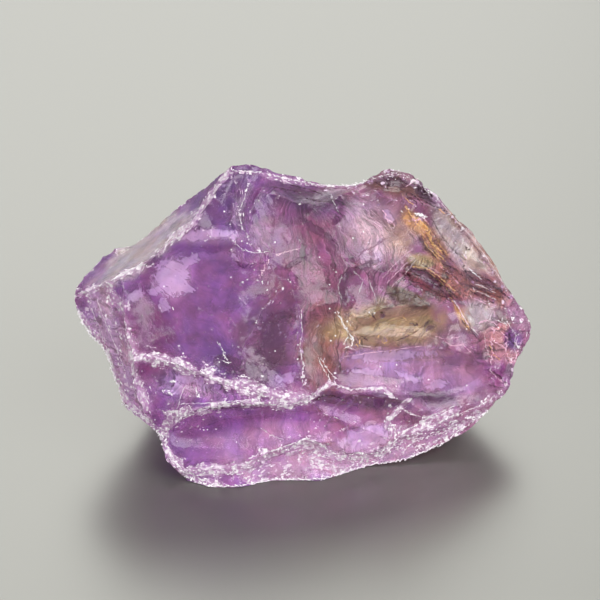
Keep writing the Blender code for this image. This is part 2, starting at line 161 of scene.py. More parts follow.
STUDIO_COLOUR = (0.97, 0.97, 0.97, 1.0)
STUDIO_STRENGTH = 0.8
CLEAR_BOUNCES = 12
ALL_BOUNCES = 14

world = bpy.data.worlds.new("studio")
world.use_nodes = True
world.node_tree.nodes["Background"].inputs["Color"].default_value = STUDIO_COLOUR
world.node_tree.nodes["Background"].inputs["Strength"].default_value = STUDIO_STRENGTH
bpy.context.scene.world = world
bpy.context.scene.view_settings.view_transform = "Standard"
bpy.context.scene.cycles.transmission_bounces = CLEAR_BOUNCES
bpy.context.scene.cycles.max_bounces = ALL_BOUNCES

# %% [markdown]
# ## The skin
#
# The solid has flat triangles. Seen through clear stone each of them would show as a facet, so
# the skin is made smooth with Subdivision Surface, and only the ridges between fracture faces
# stay sharp, by their creases.

# %% Smooth skin with creased ridges
RIDGE_ANGLE = math.radians(16.0)
SKIN_LEVELS = 2
SAME_PLACE = 1e-6


def merged(node):
    """The solid's mesh with its doubled corners merged, and creases on its ridges."""
    form = bmesh.new()
    form.from_mesh(node.data)
    bmesh.ops.remove_doubles(form, verts=form.verts, dist=SAME_PLACE)
    crease = form.edges.layers.float.new("crease_edge")
    for edge in form.edges:
        if len(edge.link_faces) == 2 and edge.calc_face_angle() > RIDGE_ANGLE:
            edge[crease] = 1.0
    return form


def evaluated(thing, name):
    """A plain mesh of a thing with its modifiers."""
    graph = bpy.context.evaluated_depsgraph_get()
    mesh = bpy.data.meshes.new_from_object(thing.evaluated_get(graph))
    mesh.name = name
    return mesh


solid = merged(stone_node)
ridge_edges = [e for e in solid.edges if e.is_manifold and e.calc_face_angle_signed() > RIDGE_ANGLE]
ridge_lines = [[np.array(vertex.co) for vertex in edge.verts] for edge in ridge_edges]
cage_mesh = bpy.data.meshes.new("cage")
solid.to_mesh(cage_mesh)
solid.free()
cage = bpy.data.objects.new("cage", cage_mesh)
bpy.context.scene.collection.objects.link(cage)
smooth = cage.modifiers.new("smooth", "SUBSURF")
smooth.levels = SKIN_LEVELS
smooth.render_levels = SKIN_LEVELS
bpy.context.view_layer.update()
skin = evaluated(cage, "amethyst_skin")
bpy.data.objects.remove(cage, do_unlink=True)
places = np.array([vertex.co for vertex in skin.vertices])
facing = np.array([vertex.normal for vertex in skin.vertices])
seen = in_view(places)
near_side = facing @ OUT > 0
print(len(skin.polygons), "skin faces,", len(ridge_lines), "ridge edges")

# %% Distance of the skin from the nearest ridge
RIDGE_STEP = 0.15 * MM


def along(start, end, step):
    count = max(1, math.ceil(np.linalg.norm(end - start) / step))
    return [start + (end - start) * part / count for part in range(count)]


ridge_places = [place for line in ridge_lines for place in along(*line, RIDGE_STEP)]
ridge_tree = kdtree.KDTree(len(ridge_places))
for number, place in enumerate(ridge_places):
    ridge_tree.insert(place, number)
ridge_tree.balance()
ridge_gap = np.array([ridge_tree.find(place)[2] for place in places]) / MM
print("ridge length", round(len(ridge_places) * RIDGE_STEP / MM), "mm")

# %% [markdown]
# ## Ragged patches
#
# Colour and texture sit in the stone in patches with ragged rims. A patch is an oval in the
# view. Smooth random values push its rim in and out.

# %% Random fields and patches


def field(frequency, shift=0.0):
    """Smooth random values from -1 to 1 over the skin, at so many swings to a millimetre."""
    shifted = Vector((shift,) * 3)
    return np.array([noise.noise(Vector(place) * (frequency / MM) + shifted) for place in places])


def smoothstep(values, low, high):
    share = np.clip((values - low) / (high - low), 0.0, 1.0)
    return share * share * (3 - 2 * share)


RAGGED = 0.35
FINE_RAGGED = 0.6
TURNED_AWAY = (-0.2, 0.15)  # how much the skin faces the view where the near side fades out

ragged = (field(0.35, 3.0) + FINE_RAGGED * field(1.1, 7.0)) * RAGGED
visible = smoothstep(facing @ OUT, *TURNED_AWAY)


def patch(across, rise, half_width, half_height, roll=0.0, soft=0.4):
    """How much of an oval patch is at each place of the skin, from 0 to 1."""
    turn = math.radians(roll)
    offset = seen - np.array((across, rise))
    width = (offset[:, 0] * math.cos(turn) + offset[:, 1] * math.sin(turn)) / half_width
    height = (offset[:, 1] * math.cos(turn) - offset[:, 0] * math.sin(turn)) / half_height
    return 1 - smoothstep(np.hypot(width, height) + ragged, 1 - soft, 1 + soft)


KEYS = {"FLOAT": "value", "FLOAT_COLOR": "color", "FLOAT_VECTOR": "vector"}


def keep(name, values, kind="FLOAT"):
    """Keeps a number, a colour or a vector for every vertex of the skin."""
    kept = skin.attributes.new(name, kind, "POINT")
    kept.data.foreach_set(KEYS[kind], values.astype(np.float32).ravel())


# %% [markdown]
# ## Colour
#
# Violet comes from traces of iron, and it lies in sectors and bands. Each patch is painted over
# the ones before it. The gold, amber and coral patches on the right, the violet glint and the
# lilac stripe are painted reflections of light inside the stone.

# %% Named colours
VIOLET = (0.37, 0.13, 0.46)
DEEP_VIOLET = (0.24, 0.09, 0.36)
MAGENTA = (0.26, 0.05, 0.21)
LILAC = (0.70, 0.42, 0.78)
DUSK = (0.24, 0.10, 0.22)
MAUVE = (0.44, 0.17, 0.33)
HAZE = (0.70, 0.45, 0.62)
BROWN = (0.34, 0.13, 0.12)
WINE = (0.37, 0.11, 0.26)
MAROON = (0.20, 0.045, 0.06)
SMOKE = (0.14, 0.08, 0.04)
RUST = (0.50, 0.18, 0.14)
OLIVE = (0.50, 0.37, 0.17)
# Gold, amber and coral are colours of painted reflections.
GOLD_REFLECTION = (0.90, 0.50, 0.22)
AMBER_REFLECTION = (0.60, 0.30, 0.17)
CLEAR = (0.95, 0.84, 0.74)
GLASS = (0.86, 0.82, 0.80)
CORAL_REFLECTION = (0.86, 0.40, 0.38)
ORCHID = (0.48, 0.12, 0.40)
LAVENDER = (0.66, 0.36, 0.64)
PLUM = (0.19, 0.07, 0.22)
TAN = (0.66, 0.44, 0.36)
OLIVE_GOLD = (0.62, 0.52, 0.22)
STONE_BROWN = (0.30, 0.12, 0.10)
NEAR_BLACK = (0.03, 0.015, 0.02)
# the colour of the painted reflections and highlights
REFLECTION_LILAC = (0.72, 0.48, 0.84)
# the colour of the painted shade
SHADE_COLOUR = (0.11, 0.025, 0.10)
END_PINK = (0.84, 0.60, 0.82)
FOOT_PINK = (0.72, 0.45, 0.62)
DUSTY = (0.60, 0.34, 0.56)
GRAIN_DARK = (0.46, 0.25, 0.46)
GRAIN_MIDDLE = (0.82, 0.64, 0.80)
SPARKLE = (0.97, 0.92, 0.95)

# %% Colour patches: colour, then across, rise, half width, half height, roll and softness
PATCHES = {
    "right half": (MAUVE, 13.0, 16.0, 14.0, 16.0, 0, 0.3),
    "left rim": (MAGENTA, -14.2, 13.8, 2.4, 3.8, 8, 0.5),
    "violet depth": (DEEP_VIOLET, -6.4, 11.2, 3.6, 1.5, -22, 0.6),
    "upper violet": (DEEP_VIOLET, -7.5, 25.5, 3.2, 4.0, -35, 0.5),
    "lilac cloud": (LILAC, -11.9, 18.9, 1.4, 1.8, -10, 0.5),
    "lilac band": (LILAC, -8.2, 22.6, 3.0, 0.6, 0, 0.5),
    "glassy strip": (GLASS, -14.6, 21.6, 5.6, 1.5, 38, 0.3),
    "left end": (END_PINK, -17.4, 12.6, 1.8, 5.6, 16, 0.4),
    "dusk": (DUSK, -3.0, 13.6, 2.4, 4.4, -14, 0.4),
    "centre": (WINE, 1.8, 21.0, 5.6, 6.5, 0, 0.4),
    "plum stroke": (PLUM, 0.2, 26.2, 3.2, 1.3, -14, 0.5),
    "haze": (HAZE, 6.4, 24.2, 2.4, 2.2, 20, 0.5),
    "haze foot": (HAZE, 6.2, 21.2, 0.9, 1.6, -30, 0.6),
    "tan": (TAN, 8.8, 22.6, 1.5, 1.8, -20, 0.5),
    "brown": (BROWN, 1.7, 12.8, 2.2, 3.8, 0, 0.4),
    "olive": (OLIVE, 8.0, 14.8, 5.6, 2.1, 4, 0.35),
    "rust": (RUST, 13.2, 18.8, 3.0, 1.6, -24, 0.4),
    "maroon lens": (MAROON, 11.4, 18.5, 2.6, 1.0, -38, 0.15),
    "olive corner": (OLIVE_GOLD, 10.7, 20.5, 1.3, 0.7, -10, 0.2),
    "smoky lens": (SMOKE, 9.4, 17.1, 2.3, 0.7, -22, 0.15),
    "striped steps": (RUST, 16.0, 18.0, 2.8, 1.2, -16, 0.4),
    "window": (CLEAR, 14.2, 22.6, 3.4, 1.6, -48, 0.3),
    "outer rim": (TAN, 15.8, 22.2, 4.6, 0.5, -52, 0.5),
    "low window": (CLEAR, 15.9, 15.8, 1.8, 1.3, -10, 0.4),
    # Painted reflections: light reflected inside the stone, in gold and amber.
    "gold": (GOLD_REFLECTION, 10.5, 23.7, 2.1, 0.9, -42, 0.25),
    "gold foot": (AMBER_REFLECTION, 11.9, 21.8, 2.0, 1.0, -52, 0.25),
    "gold bead": (GOLD_REFLECTION, 14.2, 15.6, 1.3, 0.4, -58, 0.3),
    # Painted reflections at the tip: coral light and a violet glint.
    "coral": (CORAL_REFLECTION, 18.2, 12.6, 1.5, 2.2, 0, 0.4),
    "violet glint": (DEEP_VIOLET, 19.2, 13.4, 0.8, 1.0, 0, 0.4),
    "orchid": (ORCHID, 17.6, 10.0, 1.9, 1.6, 0, 0.4),
    "knob": (STONE_BROWN, 8.6, 27.6, 3.0, 1.4, -10, 0.4),
    "black spot": (NEAR_BLACK, 11.1, 27.0, 0.9, 0.7, -30, 0.4),
    "lower right": (LAVENDER, 10.6, 9.4, 6.4, 2.6, -4, 0.35),
    "pale shelf": (LILAC, 7.6, 11.7, 4.0, 0.9, 2, 0.4),
    # Painted reflection: a pale stripe of light reflected inside the stone.
    "lilac stripe": (LILAC, 8.2, 10.4, 3.6, 0.5, -8, 0.5),
    "plum lens": (PLUM, 5.4, 7.9, 4.8, 0.8, -2, 0.4),
    "plum end": (DUSK, 11.6, 8.0, 2.6, 0.8, -4, 0.5),
    "ledge": (LILAC, -10.6, 9.4, 3.4, 1.1, -10, 0.5),
    "hollow glow": (LAVENDER, -3.5, 4.6, 4.6, 1.2, 4, 0.6),
    "hollow lens": (LILAC, 5.5, 4.3, 2.2, 1.2, 8, 0.3),
    "foot": (FOOT_PINK, 2.0, 2.4, 9.0, 1.6, 4, 0.5),
}

NEAR_ONLY = {
    "gold", "gold foot", "gold bead", "olive corner", "maroon lens", "smoky lens", "black spot", "coral",
}
CLOUDS = 0.22
FINE_CLOUDS = 0.14

tint = np.tile(np.array(VIOLET), (len(places), 1))
for name, (colour, *shape) in PATCHES.items():
    share = (patch(*shape) * (visible if name in NEAR_ONLY else 1.0))[:, None]
    tint = tint * (1 - share) + np.array(colour) * share
tint *= (1 + CLOUDS * field(0.7, 11.0) + FINE_CLOUDS * field(1.9, 13.0))[:, None]
keep("tint", np.concatenate((np.clip(tint, 0, 1), np.ones((len(tint), 1))), axis=1), "FLOAT_COLOR")
print(len(PATCHES), "colour patches")

# %% [markdown]
# ## Frost
#
# Along the ridges the quartz is crushed, and the tiny cracks scatter the light white. The broad
# frosty bands run along the ridges named here, and a thin one along every other ridge.

# %% Frosty bands: half width and strength, then the corners of the band in the view
BANDS = {
    "upper left ridge": (
        0.35, 0.85, [(-21.0, 17.2), (-16.3, 19.2), (-13.7, 20.7), (-10.1, 23.9), (-6.6, 29.1)],
    ),
    "left edge": (
        0.45, 0.9, [(-20.7, 15.6), (-19.0, 12.8), (-17.0, 8.7), (-12.8, 3.4), (-9.5, 0.3), (-7.5, 0.0)],
    ),
    "left end": (0.55, 0.7, [(-17.6, 18.2), (-16.0, 15.0), (-15.6, 11.6), (-14.5, 6.7), (-13.4, 4.8)]),
    "ledge top": (
        0.55, 1.0, [(-15.4, 11.6), (-11.6, 11.4), (-8.1, 9.9), (-4.6, 9.0), (-1.7, 8.2), (0.1, 7.9)],
    ),
    "ledge lip": (0.36, 1.0, [(-13.4, 4.8), (-10.0, 7.1), (-5.8, 7.6), (-1.4, 7.5), (0.1, 7.9)]),
    "ledge corner": (0.55, 0.9, [(-13.2, 4.6), (-12.2, 6.2), (-10.6, 7.1)]),
    "hollow lip": (0.60, 0.85, [(-10.8, 1.3), (-5.4, 1.9), (-3.1, 2.9), (0.1, 3.9), (2.5, 2.8), (4.4, 2.3)]),
    "lens rim": (0.30, 0.9, [(4.4, 2.6), (7.2, 2.9), (8.2, 4.2), (7.6, 6.0), (9.0, 7.4), (9.8, 8.0)]),
    "net": (0.8, 0.75, [(8.4, 4.2), (11.0, 5.6), (13.8, 6.6)]),
    "rim": (0.55, 0.65, [(7.9, 3.6), (11.6, 4.8), (15.0, 6.2), (18.2, 8.2)]),
    "foot": (1.1, 0.58, [(-5.0, 1.2), (0.6, 2.6), (3.4, 1.6), (9.2, 3.0), (16.8, 7.0)]),
    "foot crust": (0.7, 0.8, [(0.8, 2.2), (2.6, 1.7), (3.6, 1.3)]),
    "foot line": (
        0.16, 0.95, [(-9.3, 0.0), (-6.1, 0.1), (-2.8, 0.7), (1.6, 0.7), (5.7, 1.9), (9.2, 2.4), (16.8, 6.8)],
    ),
    "plum lens top": (0.16, 0.9, [(0.5, 8.1), (2.3, 9.5), (4.1, 9.0), (7.2, 9.1), (8.1, 8.2)]),
    "centre crack": (0.08, 0.6, [(-0.3, 16.0), (-0.4, 12.7), (-0.2, 9.7)]),
    "column": (0.8, 0.30, [(-5.4, 27.0), (-5.8, 24.0), (-4.4, 20.6), (-3.9, 18.6)]),
    "knob top": (0.45, 0.6, [(6.2, 28.3), (8.6, 28.6), (11.4, 27.0), (12.6, 25.5)]),
    "left face": (1.7, 0.44, [(-18.9, 16.0), (-17.6, 12.4), (-15.6, 8.6)]),
    "outer edge": (0.26, 0.40, [(12.5, 25.6), (15.4, 22.4), (17.8, 19.1), (18.7, 17.6)]),
    "saddle": (0.30, 0.6, [(-6.2, 28.6), (-3.9, 28.4), (-1.3, 27.9), (1.5, 27.4), (6.2, 28.1)]),
    "tip": (0.6, 0.45, [(18.8, 17.4), (20.2, 14.6), (19.2, 11.4), (18.2, 8.6)]),
}
THIN_BAND = 0.16
THIN_STRENGTH = 0.45
FAR_STRENGTH = 0.8  # of the thin bands on the far side
QUIET = (9.5, 18.5, 9.0, 7.5)  # the clear and smoky part, where the thin bands are fainter
QUIET_SHARE = 0.85
BAND_RIM = (0.5, 1.6)  # shares of the half width between which a band fades out
SKIRT_RIM = (1.0, 3.5)
SKIRT = 0.32
BAND_RAGGED = 0.6
NARROWEST = 0.6
WIDENED = 0.9
FAR_OFF = 1e9


def beside_line(corners):
    """How far each place in the view is along a line through corners, and how far beside it."""
    gap = np.full(len(seen), FAR_OFF)
    length = np.zeros(len(seen))
    passed = 0.0
    for start, end in zip(np.array(corners), np.array(corners[1:])):
        run = end - start
        share = np.clip(((seen - start) @ run) / (run @ run), 0, 1)
        offset = seen - start - share[:, None] * run
        side = np.where(offset[:, 0] * run[1] > offset[:, 1] * run[0], 1.0, -1.0)
        here = np.linalg.norm(offset, axis=1)
        closer = here < np.abs(gap)
        gap[closer] = (here * side)[closer]
        length[closer] = (passed + share * np.linalg.norm(run))[closer]
        passed += np.linalg.norm(run)
    return length, gap


def headings(corners):
    """The run of a line through corners, for each place its nearest stretch."""
    gap = np.full(len(seen), FAR_OFF)
    heading = np.zeros((len(seen), 2))
    for pair in zip(corners, corners[1:]):
        run = np.subtract(pair[1], pair[0])
        here = np.abs(beside_line(pair)[1])
        heading[here < gap] = run / np.linalg.norm(run)
        gap = np.minimum(gap, here)
    return heading


widening = NARROWEST + WIDENED * smoothstep(field(0.55, 23.0) + 0.5 * field(1.7, 29.0), -0.35, 0.45)
near_strength = THIN_STRENGTH * (1 - QUIET_SHARE * patch(*QUIET))
thin_strength = FAR_STRENGTH + (near_strength - FAR_STRENGTH) * visible
frost = (1 - smoothstep(ridge_gap, 0.0, 2 * THIN_BAND)) * thin_strength
closest = np.full(len(seen), FAR_OFF)
heading = np.zeros((len(seen), 2))
strand = np.zeros((len(seen), 3))
for number, (half_width, strength, corners) in enumerate(BANDS.values()):
    length, gap = beside_line(corners)
    reach = (np.abs(gap) + BAND_RAGGED * ragged) / (half_width * widening)
    band = np.maximum(1 - smoothstep(reach, *BAND_RIM), SKIRT * (1 - smoothstep(reach, *SKIRT_RIM)))
    frost = np.maximum(frost, band * strength * visible)
    nearer = np.abs(gap) < closest
    strand[nearer] = np.stack((length, gap, np.full(len(gap), float(number))), axis=1)[nearer]
    heading[nearer] = headings(corners)[nearer]
    closest = np.minimum(closest, np.abs(gap))
keep("frost", frost)
keep("strand", strand, "FLOAT_VECTOR")
keep("along", heading[:, :1] * ACROSS + heading[:, 1:] * RISE, "FLOAT_VECTOR")
print("mean frost", round(float(frost.mean()), 3))

# %% [markdown]
# ## Painted reflections and painted shade
#
# Some places have a crisp rim. Pale colour is painted where a thin crack just under the skin
# would mirror the light: a painted reflection, and a few painted highlights. Dark colour is painted
# shade, where small steps and pits cast shadows and where a crack leads the light away. The skin
# keeps how much of each is near, and the material draws the rim finer than the mesh could.

# %% Painted reflections and painted shade: across, rise, half width, half height and roll
# Painted reflections: light mirrored by cracks just under the skin, and a few highlight spots.
PAINTED_REFLECTION_PATCHES = [
    (-12.0, 19.0, 1.6, 1.9, -10), (-11.0, 20.2, 1.3, 0.5, 24), (-10.5, 18.0, 0.8, 0.4, -20),
    (-13.2, 17.9, 0.9, 0.4, 30), (-15.2, 17.4, 0.8, 0.5, 20),
    (-8.6, 22.8, 3.2, 0.5, 0), (-12.6, 16.6, 0.6, 0.8, 20),
    (-10.6, 9.9, 0.9, 0.5, 0), (-11.8, 8.9, 1.0, 0.5, 10), (-9.0, 9.2, 0.8, 0.5, -20),
    (5.6, 10.5, 2.2, 0.30, -4), (9.6, 9.9, 1.6, 0.30, -24), (12.2, 9.3, 1.2, 0.5, 16),
    (7.2, 11.9, 3.6, 0.5, 2), (5.6, 4.4, 2.1, 1.1, 10),
    (-17.8, 14.0, 0.8, 2.0, 18), (-16.4, 9.4, 0.6, 1.6, 30), (7.7, 24.4, 0.35, 0.8, 30),
    (10.4, 24.3, 0.7, 0.35, 10), (-1.6, 10.0, 1.0, 0.5, 10),
]
# Painted shade: shadows under small steps, along the dark edges of the lenses and in pits.
PAINTED_SHADE_PATCHES = [
    (-5.6, 10.8, 2.6, 0.7, -22), (0.4, 26.4, 2.6, 0.6, -16), (-2.6, 13.6, 1.2, 3.0, -18),
    (11.2, 18.9, 2.2, 0.35, -40), (16.4, 18.7, 2.0, 0.40, -24),
    (15.9, 18.1, 1.5, 0.22, -18), (16.4, 17.4, 1.3, 0.18, -16), (11.3, 26.8, 1.1, 0.8, -34),
    (8.2, 27.7, 1.8, 0.5, -8), (13.2, 20.2, 1.2, 0.3, -50), (12.6, 17.8, 1.6, 0.2, -44),
    (2.3, 8.3, 1.5, 0.35, 4), (6.4, 7.9, 3.0, 0.6, -3),
    (11.4, 8.2, 2.4, 0.4, -4), (18.9, 10.4, 0.4, 0.8, 0), (7.1, 15.6, 0.25, 0.4, -20),
    (11.5, 14.5, 0.4, 0.25, 10), (-6.0, 7.2, 2.6, 0.16, 3),
    (14.9, 14.5, 1.2, 0.14, -46), (4.6, 19.6, 1.6, 0.30, 24), (1.0, 23.4, 1.8, 0.30, -34),
    (3.6, 17.6, 0.4, 1.6, 10), (-0.8, 20.4, 1.2, 0.26, 30),
]
FULL = 0.6
pale = np.max([patch(*shape, soft=FULL) for shape in PAINTED_REFLECTION_PATCHES], axis=0) * visible
dark = np.max([patch(*shape, soft=FULL) for shape in PAINTED_SHADE_PATCHES], axis=0) * visible
keep("pale", pale)
keep("dark", dark)
keep("inner", 1 - visible)

# %% [markdown]
# ## Streaks and steps
#
# A crack in quartz starts at a point and runs outwards. It leaves ripples round that point and
# fine lines that lead away from it. Each patch below has such a point. The skin keeps its
# distance from it and its angle round it for the material to draw with, and where the crack
# broke in steps, the steps are pressed into the skin.

# %% Where cracks started: the patch, the point, how strong its streaks are, step width and depth
STARTS = {
    "upper face": ((-9.0, 16.0, 6.5, 6.0, 30), (-18.0, 24.0), 0.12, 0.0, 0.0),
    "column": ((-4.6, 23.0, 2.0, 5.0, 8), (-8.0, 34.0), 0.5, 0.0, 0.0),
    "centre": ((2.6, 22.6, 5.6, 4.4, 0), (-1.0, 31.0), 0.75, 0.0, 0.0),
    "centre fan": ((7.4, 19.6, 3.4, 3.6, -40), (6.0, 12.6), 0.9, 0.0, 0.0),
    "centre foot": ((1.6, 13.4, 3.0, 4.4, 0), (3.0, 31.0), 0.7, 0.0, 0.0),
    "olive": ((8.0, 14.8, 5.0, 2.2, 4), (16.0, 20.0), 0.6, 0.0, 0.0),
    "gold": ((11.2, 22.7, 3.0, 1.3, -46), (1.0, 38.0), 1.2, 0.9, 0.12),
    "steps": ((12.6, 18.4, 4.4, 2.0, -28), (18.0, 32.0), 1.2, 1.0, 0.22),
    "right steps": ((16.4, 17.6, 3.0, 1.6, -20), (20.0, 30.0), 1.2, 0.8, 0.20),
    "window": ((13.8, 22.6, 3.6, 2.0, -48), (17.4, 27.4), 0.5, 0.9, 0.07),
    "tip": ((18.2, 12.4, 2.6, 4.6, 0), (12.0, 12.0), 1.0, 1.2, 0.20),
    "lower right": ((10.4, 9.8, 6.4, 2.4, -4), (9.0, 26.0), 0.3, 1.5, 0.08),
    "hollow": ((-3.0, 5.0, 9.0, 2.6, 2), (-4.0, 20.0), 0.25, 1.8, 0.07),
    "ledge": ((-8.5, 8.8, 6.0, 1.8, -12), (-3.0, 34.0), 0.8, 0.9, 0.10),
    "left end": ((-17.0, 12.0, 2.6, 6.5, 14), (-34.0, 22.0), 0.7, 0.9, 0.08),
}
REST_START = (20.0, 45.0)  # where the cracks of all the other skin start
REST_STRENGTH = 0.2
REST_REACH = 30.0
STEP_EDGE = 0.8
STEP_RAGGED = 0.6
START_SOFT = 0.3
INSIDE = 0.5  # the share of a patch from which its own streaks are drawn
FULL_STREAKS = 0.8
OUTSIDE = 0.1


def fan(start):
    """Distance of each place from the start of a crack, and how far round it the place is."""
    offset = seen - np.array(start)
    radius = np.hypot(offset[:, 0], offset[:, 1])
    turn = np.arctan2(offset[:, 0], -offset[:, 1])
    return radius, turn


def steps(radius, width):
    """A row of steps: each rises slowly over most of its width, and drops at its edge."""
    part = np.mod(radius / width + STEP_RAGGED * ragged, 1.0)
    return smoothstep(part, 0.0, STEP_EDGE) - smoothstep(part, STEP_EDGE, 1.0)


radius, turn = fan(REST_START)
arc = np.stack((radius, turn * REST_REACH, np.full(len(radius), REST_STRENGTH)), axis=1)
strongest = np.zeros(len(places))
stepped = np.zeros(len(places))
for shape, start, strength, width, depth in STARTS.values():
    share = patch(*shape, soft=START_SOFT)
    radius, turn = fan(start)
    reach = np.hypot(shape[0] - start[0], shape[1] - start[1])
    here = (share > INSIDE) & (share >= strongest)
    fade = smoothstep(share, INSIDE, FULL_STREAKS)
    arc[here] = np.stack((radius, turn * reach, strength * fade), axis=1)[here]
    strongest = np.maximum(strongest, share)
    if depth:
        stepped = np.maximum(stepped, share * depth * steps(radius, width))
outer_fade = np.where(strongest < INSIDE, 1 - smoothstep(strongest, OUTSIDE, INSIDE), 1.0)
arc[:, 2] *= outer_fade * visible
stepped *= visible
keep("arc", arc, "FLOAT_VECTOR")
print(len(STARTS), "streaked patches, steps up to", round(float(stepped.max()), 2), "mm")

# %% [markdown]
# ## Wear
#
# No broken face is perfectly smooth. A slow swell bends what is seen through it, the ridges are
# nicked by small chips, and the frosty bands are rough. All are moves of the skin along its own
# facing, and always inwards, so that the stone never grows.

# %% Swell, chips, crushed bands and steps
SWELL = 0.05
CHIP_DEPTH = 0.16
CHIP_REACH = 0.7
CRUSH_DEPTH = 0.16
CRUSHED_FROM = 0.2
FULLY_CRUSHED = 0.9
SWELL_REACH = 2.0
FOOT_HEIGHT = 0.02  # the skin under this height rests on the floor and stays

swell = (field(0.30) + 0.35 * field(0.9, 5.0)) * SWELL
chips = smoothstep(field(1.6, 9.0), -0.1, 0.6) * CHIP_DEPTH * (1 - smoothstep(ridge_gap, 0.0, CHIP_REACH))
pits = 0.5 + 0.5 * field(1.5, 17.0) + 0.4 * field(2.9, 19.0)
crush = smoothstep(frost, CRUSHED_FROM, FULLY_CRUSHED) * CRUSH_DEPTH * pits
off_ridges = smoothstep(ridge_gap, 0.0, SWELL_REACH)
inwards = chips + np.maximum(crush, 0) + stepped + (swell + SWELL) * off_ridges
inwards[places[:, 2] < FOOT_HEIGHT * MM] = 0.0
places = places - facing * inwards[:, None] * MM
skin.vertices.foreach_set("co", places.astype(np.float32).ravel())
skin.update()
seen = in_view(places)
print("skin moved by up to", round(float(np.abs(inwards).max()), 3), "mm")

# %% [markdown]
# ## The stone's material
#
# Quartz bends light by an index of 1.544. The colour is partly in the depth of the stone, as a
# plain absorption, and partly a tint of its surface. Where the ridges are crushed the surface
# breaks up into small bright and dull grains. Blender's Voronoi pattern has just such cells.

# %% Node helpers
QUARTZ_INDEX = 1.544
material, tree, shader = new_material("amethyst", {"IOR": QUARTZ_INDEX})


def add(tree, kind, inputs=None, **settings):
    """Adds a node, sets its settings, and links or sets its inputs."""
    made = tree.nodes.new(kind)
    for name, value in settings.items():
        setattr(made, name, value)
    for name, value in (inputs or {}).items():
        if isinstance(value, bpy.types.NodeSocket):
            tree.links.new(value, made.inputs[name])
        else:
            made.inputs[name].default_value = value
    return made


def maths(operation, first, second):
    return add(tree, "ShaderNodeMath", {0: first, 1: second}, operation=operation).outputs["Value"]


def ranged(value, low, high, to_low=0.0, to_high=1.0):
    """A soft step of a value from one range to another."""
    limits = {"Value": value, "From Min": low, "From Max": high, "To Min": to_low, "To Max": to_high}
    return add(tree, "ShaderNodeMapRange", limits, interpolation_type="SMOOTHSTEP").outputs["Result"]


def mixed(share, first, second):
    """A mix of two colours. The numbers are the sockets of the colour kind."""
    return add(tree, "ShaderNodeMix", {0: share, 6: first, 7: second}, data_type="RGBA").outputs[2]


def painted(colour):
    return (*colour, 1.0)


# %% Where things are


def kept_value(name, output="Fac"):
    return add(tree, "ShaderNodeAttribute", attribute_name=name).outputs[output]


position = add(tree, "ShaderNodeTexCoord").outputs["Object"]
tint_value = kept_value("tint", "Color")
frost_value = kept_value("frost")
reflection_value = kept_value("pale")
shade_value = kept_value("dark")
inner_value = kept_value("inner")
arc_place = kept_value("arc", "Vector")
strand_place = kept_value("strand", "Vector")
streak_strength = add(tree, "ShaderNodeSeparateXYZ", {0: arc_place}).outputs["Z"]


def noise_pattern(size, detail, roughness=0.55):
    """Smooth random values with swings of about a size in millimetres."""
    sizes = {"Vector": position, "Scale": 1 / (size * MM), "Detail": detail, "Roughness": roughness}
    return add(tree, "ShaderNodeTexNoise", sizes).outputs


def streak_pattern(place, length, width):
    """Streaks of about a length and a width in millimetres, in a place's own two directions."""
    scale = {0: place, 1: (1 / length, 1 / width, 1.0)}
    stretched = add(tree, "ShaderNodeVectorMath", scale, operation="MULTIPLY").outputs[0]
    sizes = {"Vector": stretched, "Scale": 1.0, "Detail": 4.0, "Roughness": 0.6, "Distortion": 0.8}
    return add(tree, "ShaderNodeTexNoise", sizes).outputs["Fac"]


# %% Grains: ragged cells, each with its own brightness
GRAIN_SIZE = 0.30
GRAIN_SHIFT = 0.22
GRAIN_SHARE = 1.15
FIBRE_SHARE = 2.0
MIDDLE = 0.5  # of a random value
CRUSHED = (0.88, 1.02)  # frost between which the skin turns to grains
BLOOM = (0.35, 1.15)  # frost between which the skin turns dull
BLOOM_SHARE = 0.5


def moved_by(shift, amount, place):
    """A place moved by a random shift, times an amount in each direction."""
    terms = {0: shift, 1: amount, 2: place}
    return add(tree, "ShaderNodeVectorMath", terms, operation="MULTIPLY_ADD").outputs[0]


shifted = moved_by(noise_pattern(0.4, 3.0)["Color"], (GRAIN_SHIFT * MM,) * 3, position)
cells = add(tree, "ShaderNodeTexVoronoi", {"Vector": shifted, "Scale": 1 / (GRAIN_SIZE * MM)})
cell_values = add(tree, "ShaderNodeSeparateColor", {0: cells.outputs["Color"]}).outputs
fine = noise_pattern(0.20, 4.0, 0.7)["Fac"]
medium = noise_pattern(0.7, 5.0, 0.65)["Fac"]

# %% Fibres along the frosty ridges, and grains between them
fibres = streak_pattern(strand_place, 1.1, 0.20)
grain_share = maths("MULTIPLY", maths("SUBTRACT", cell_values["Red"], MIDDLE), GRAIN_SHARE)
fibre_share = maths("MULTIPLY", maths("SUBTRACT", maths("ADD", fibres, medium), 2 * MIDDLE), FIBRE_SHARE)
crushed = ranged(maths("ADD", frost_value, maths("ADD", grain_share, fibre_share)), *CRUSHED)
bloom = ranged(maths("ADD", frost_value, maths("MULTIPLY", medium, BLOOM_SHARE)), *BLOOM)

# %% Loose bright specks on the faces
SPECK_SPACING = 0.5
SPECK_SIZE = (0.08, 0.20)  # of the spacing, from its full middle to its rim
speck_cells = add(tree, "ShaderNodeTexVoronoi", {"Vector": shifted, "Scale": 1 / (SPECK_SPACING * MM)})
speck_pick = add(tree, "ShaderNodeSeparateColor", {0: speck_cells.outputs["Color"]}).outputs["Red"]
speck_areas = ranged(noise_pattern(3.0, 2.0)["Fac"], 0.46, 0.66, 1.0, 0.66)
speck_dots = ranged(speck_cells.outputs["Distance"], *SPECK_SIZE, 1.0, 0.0)
specks = maths("MULTIPLY", speck_dots, maths("GREATER_THAN", speck_pick, speck_areas))

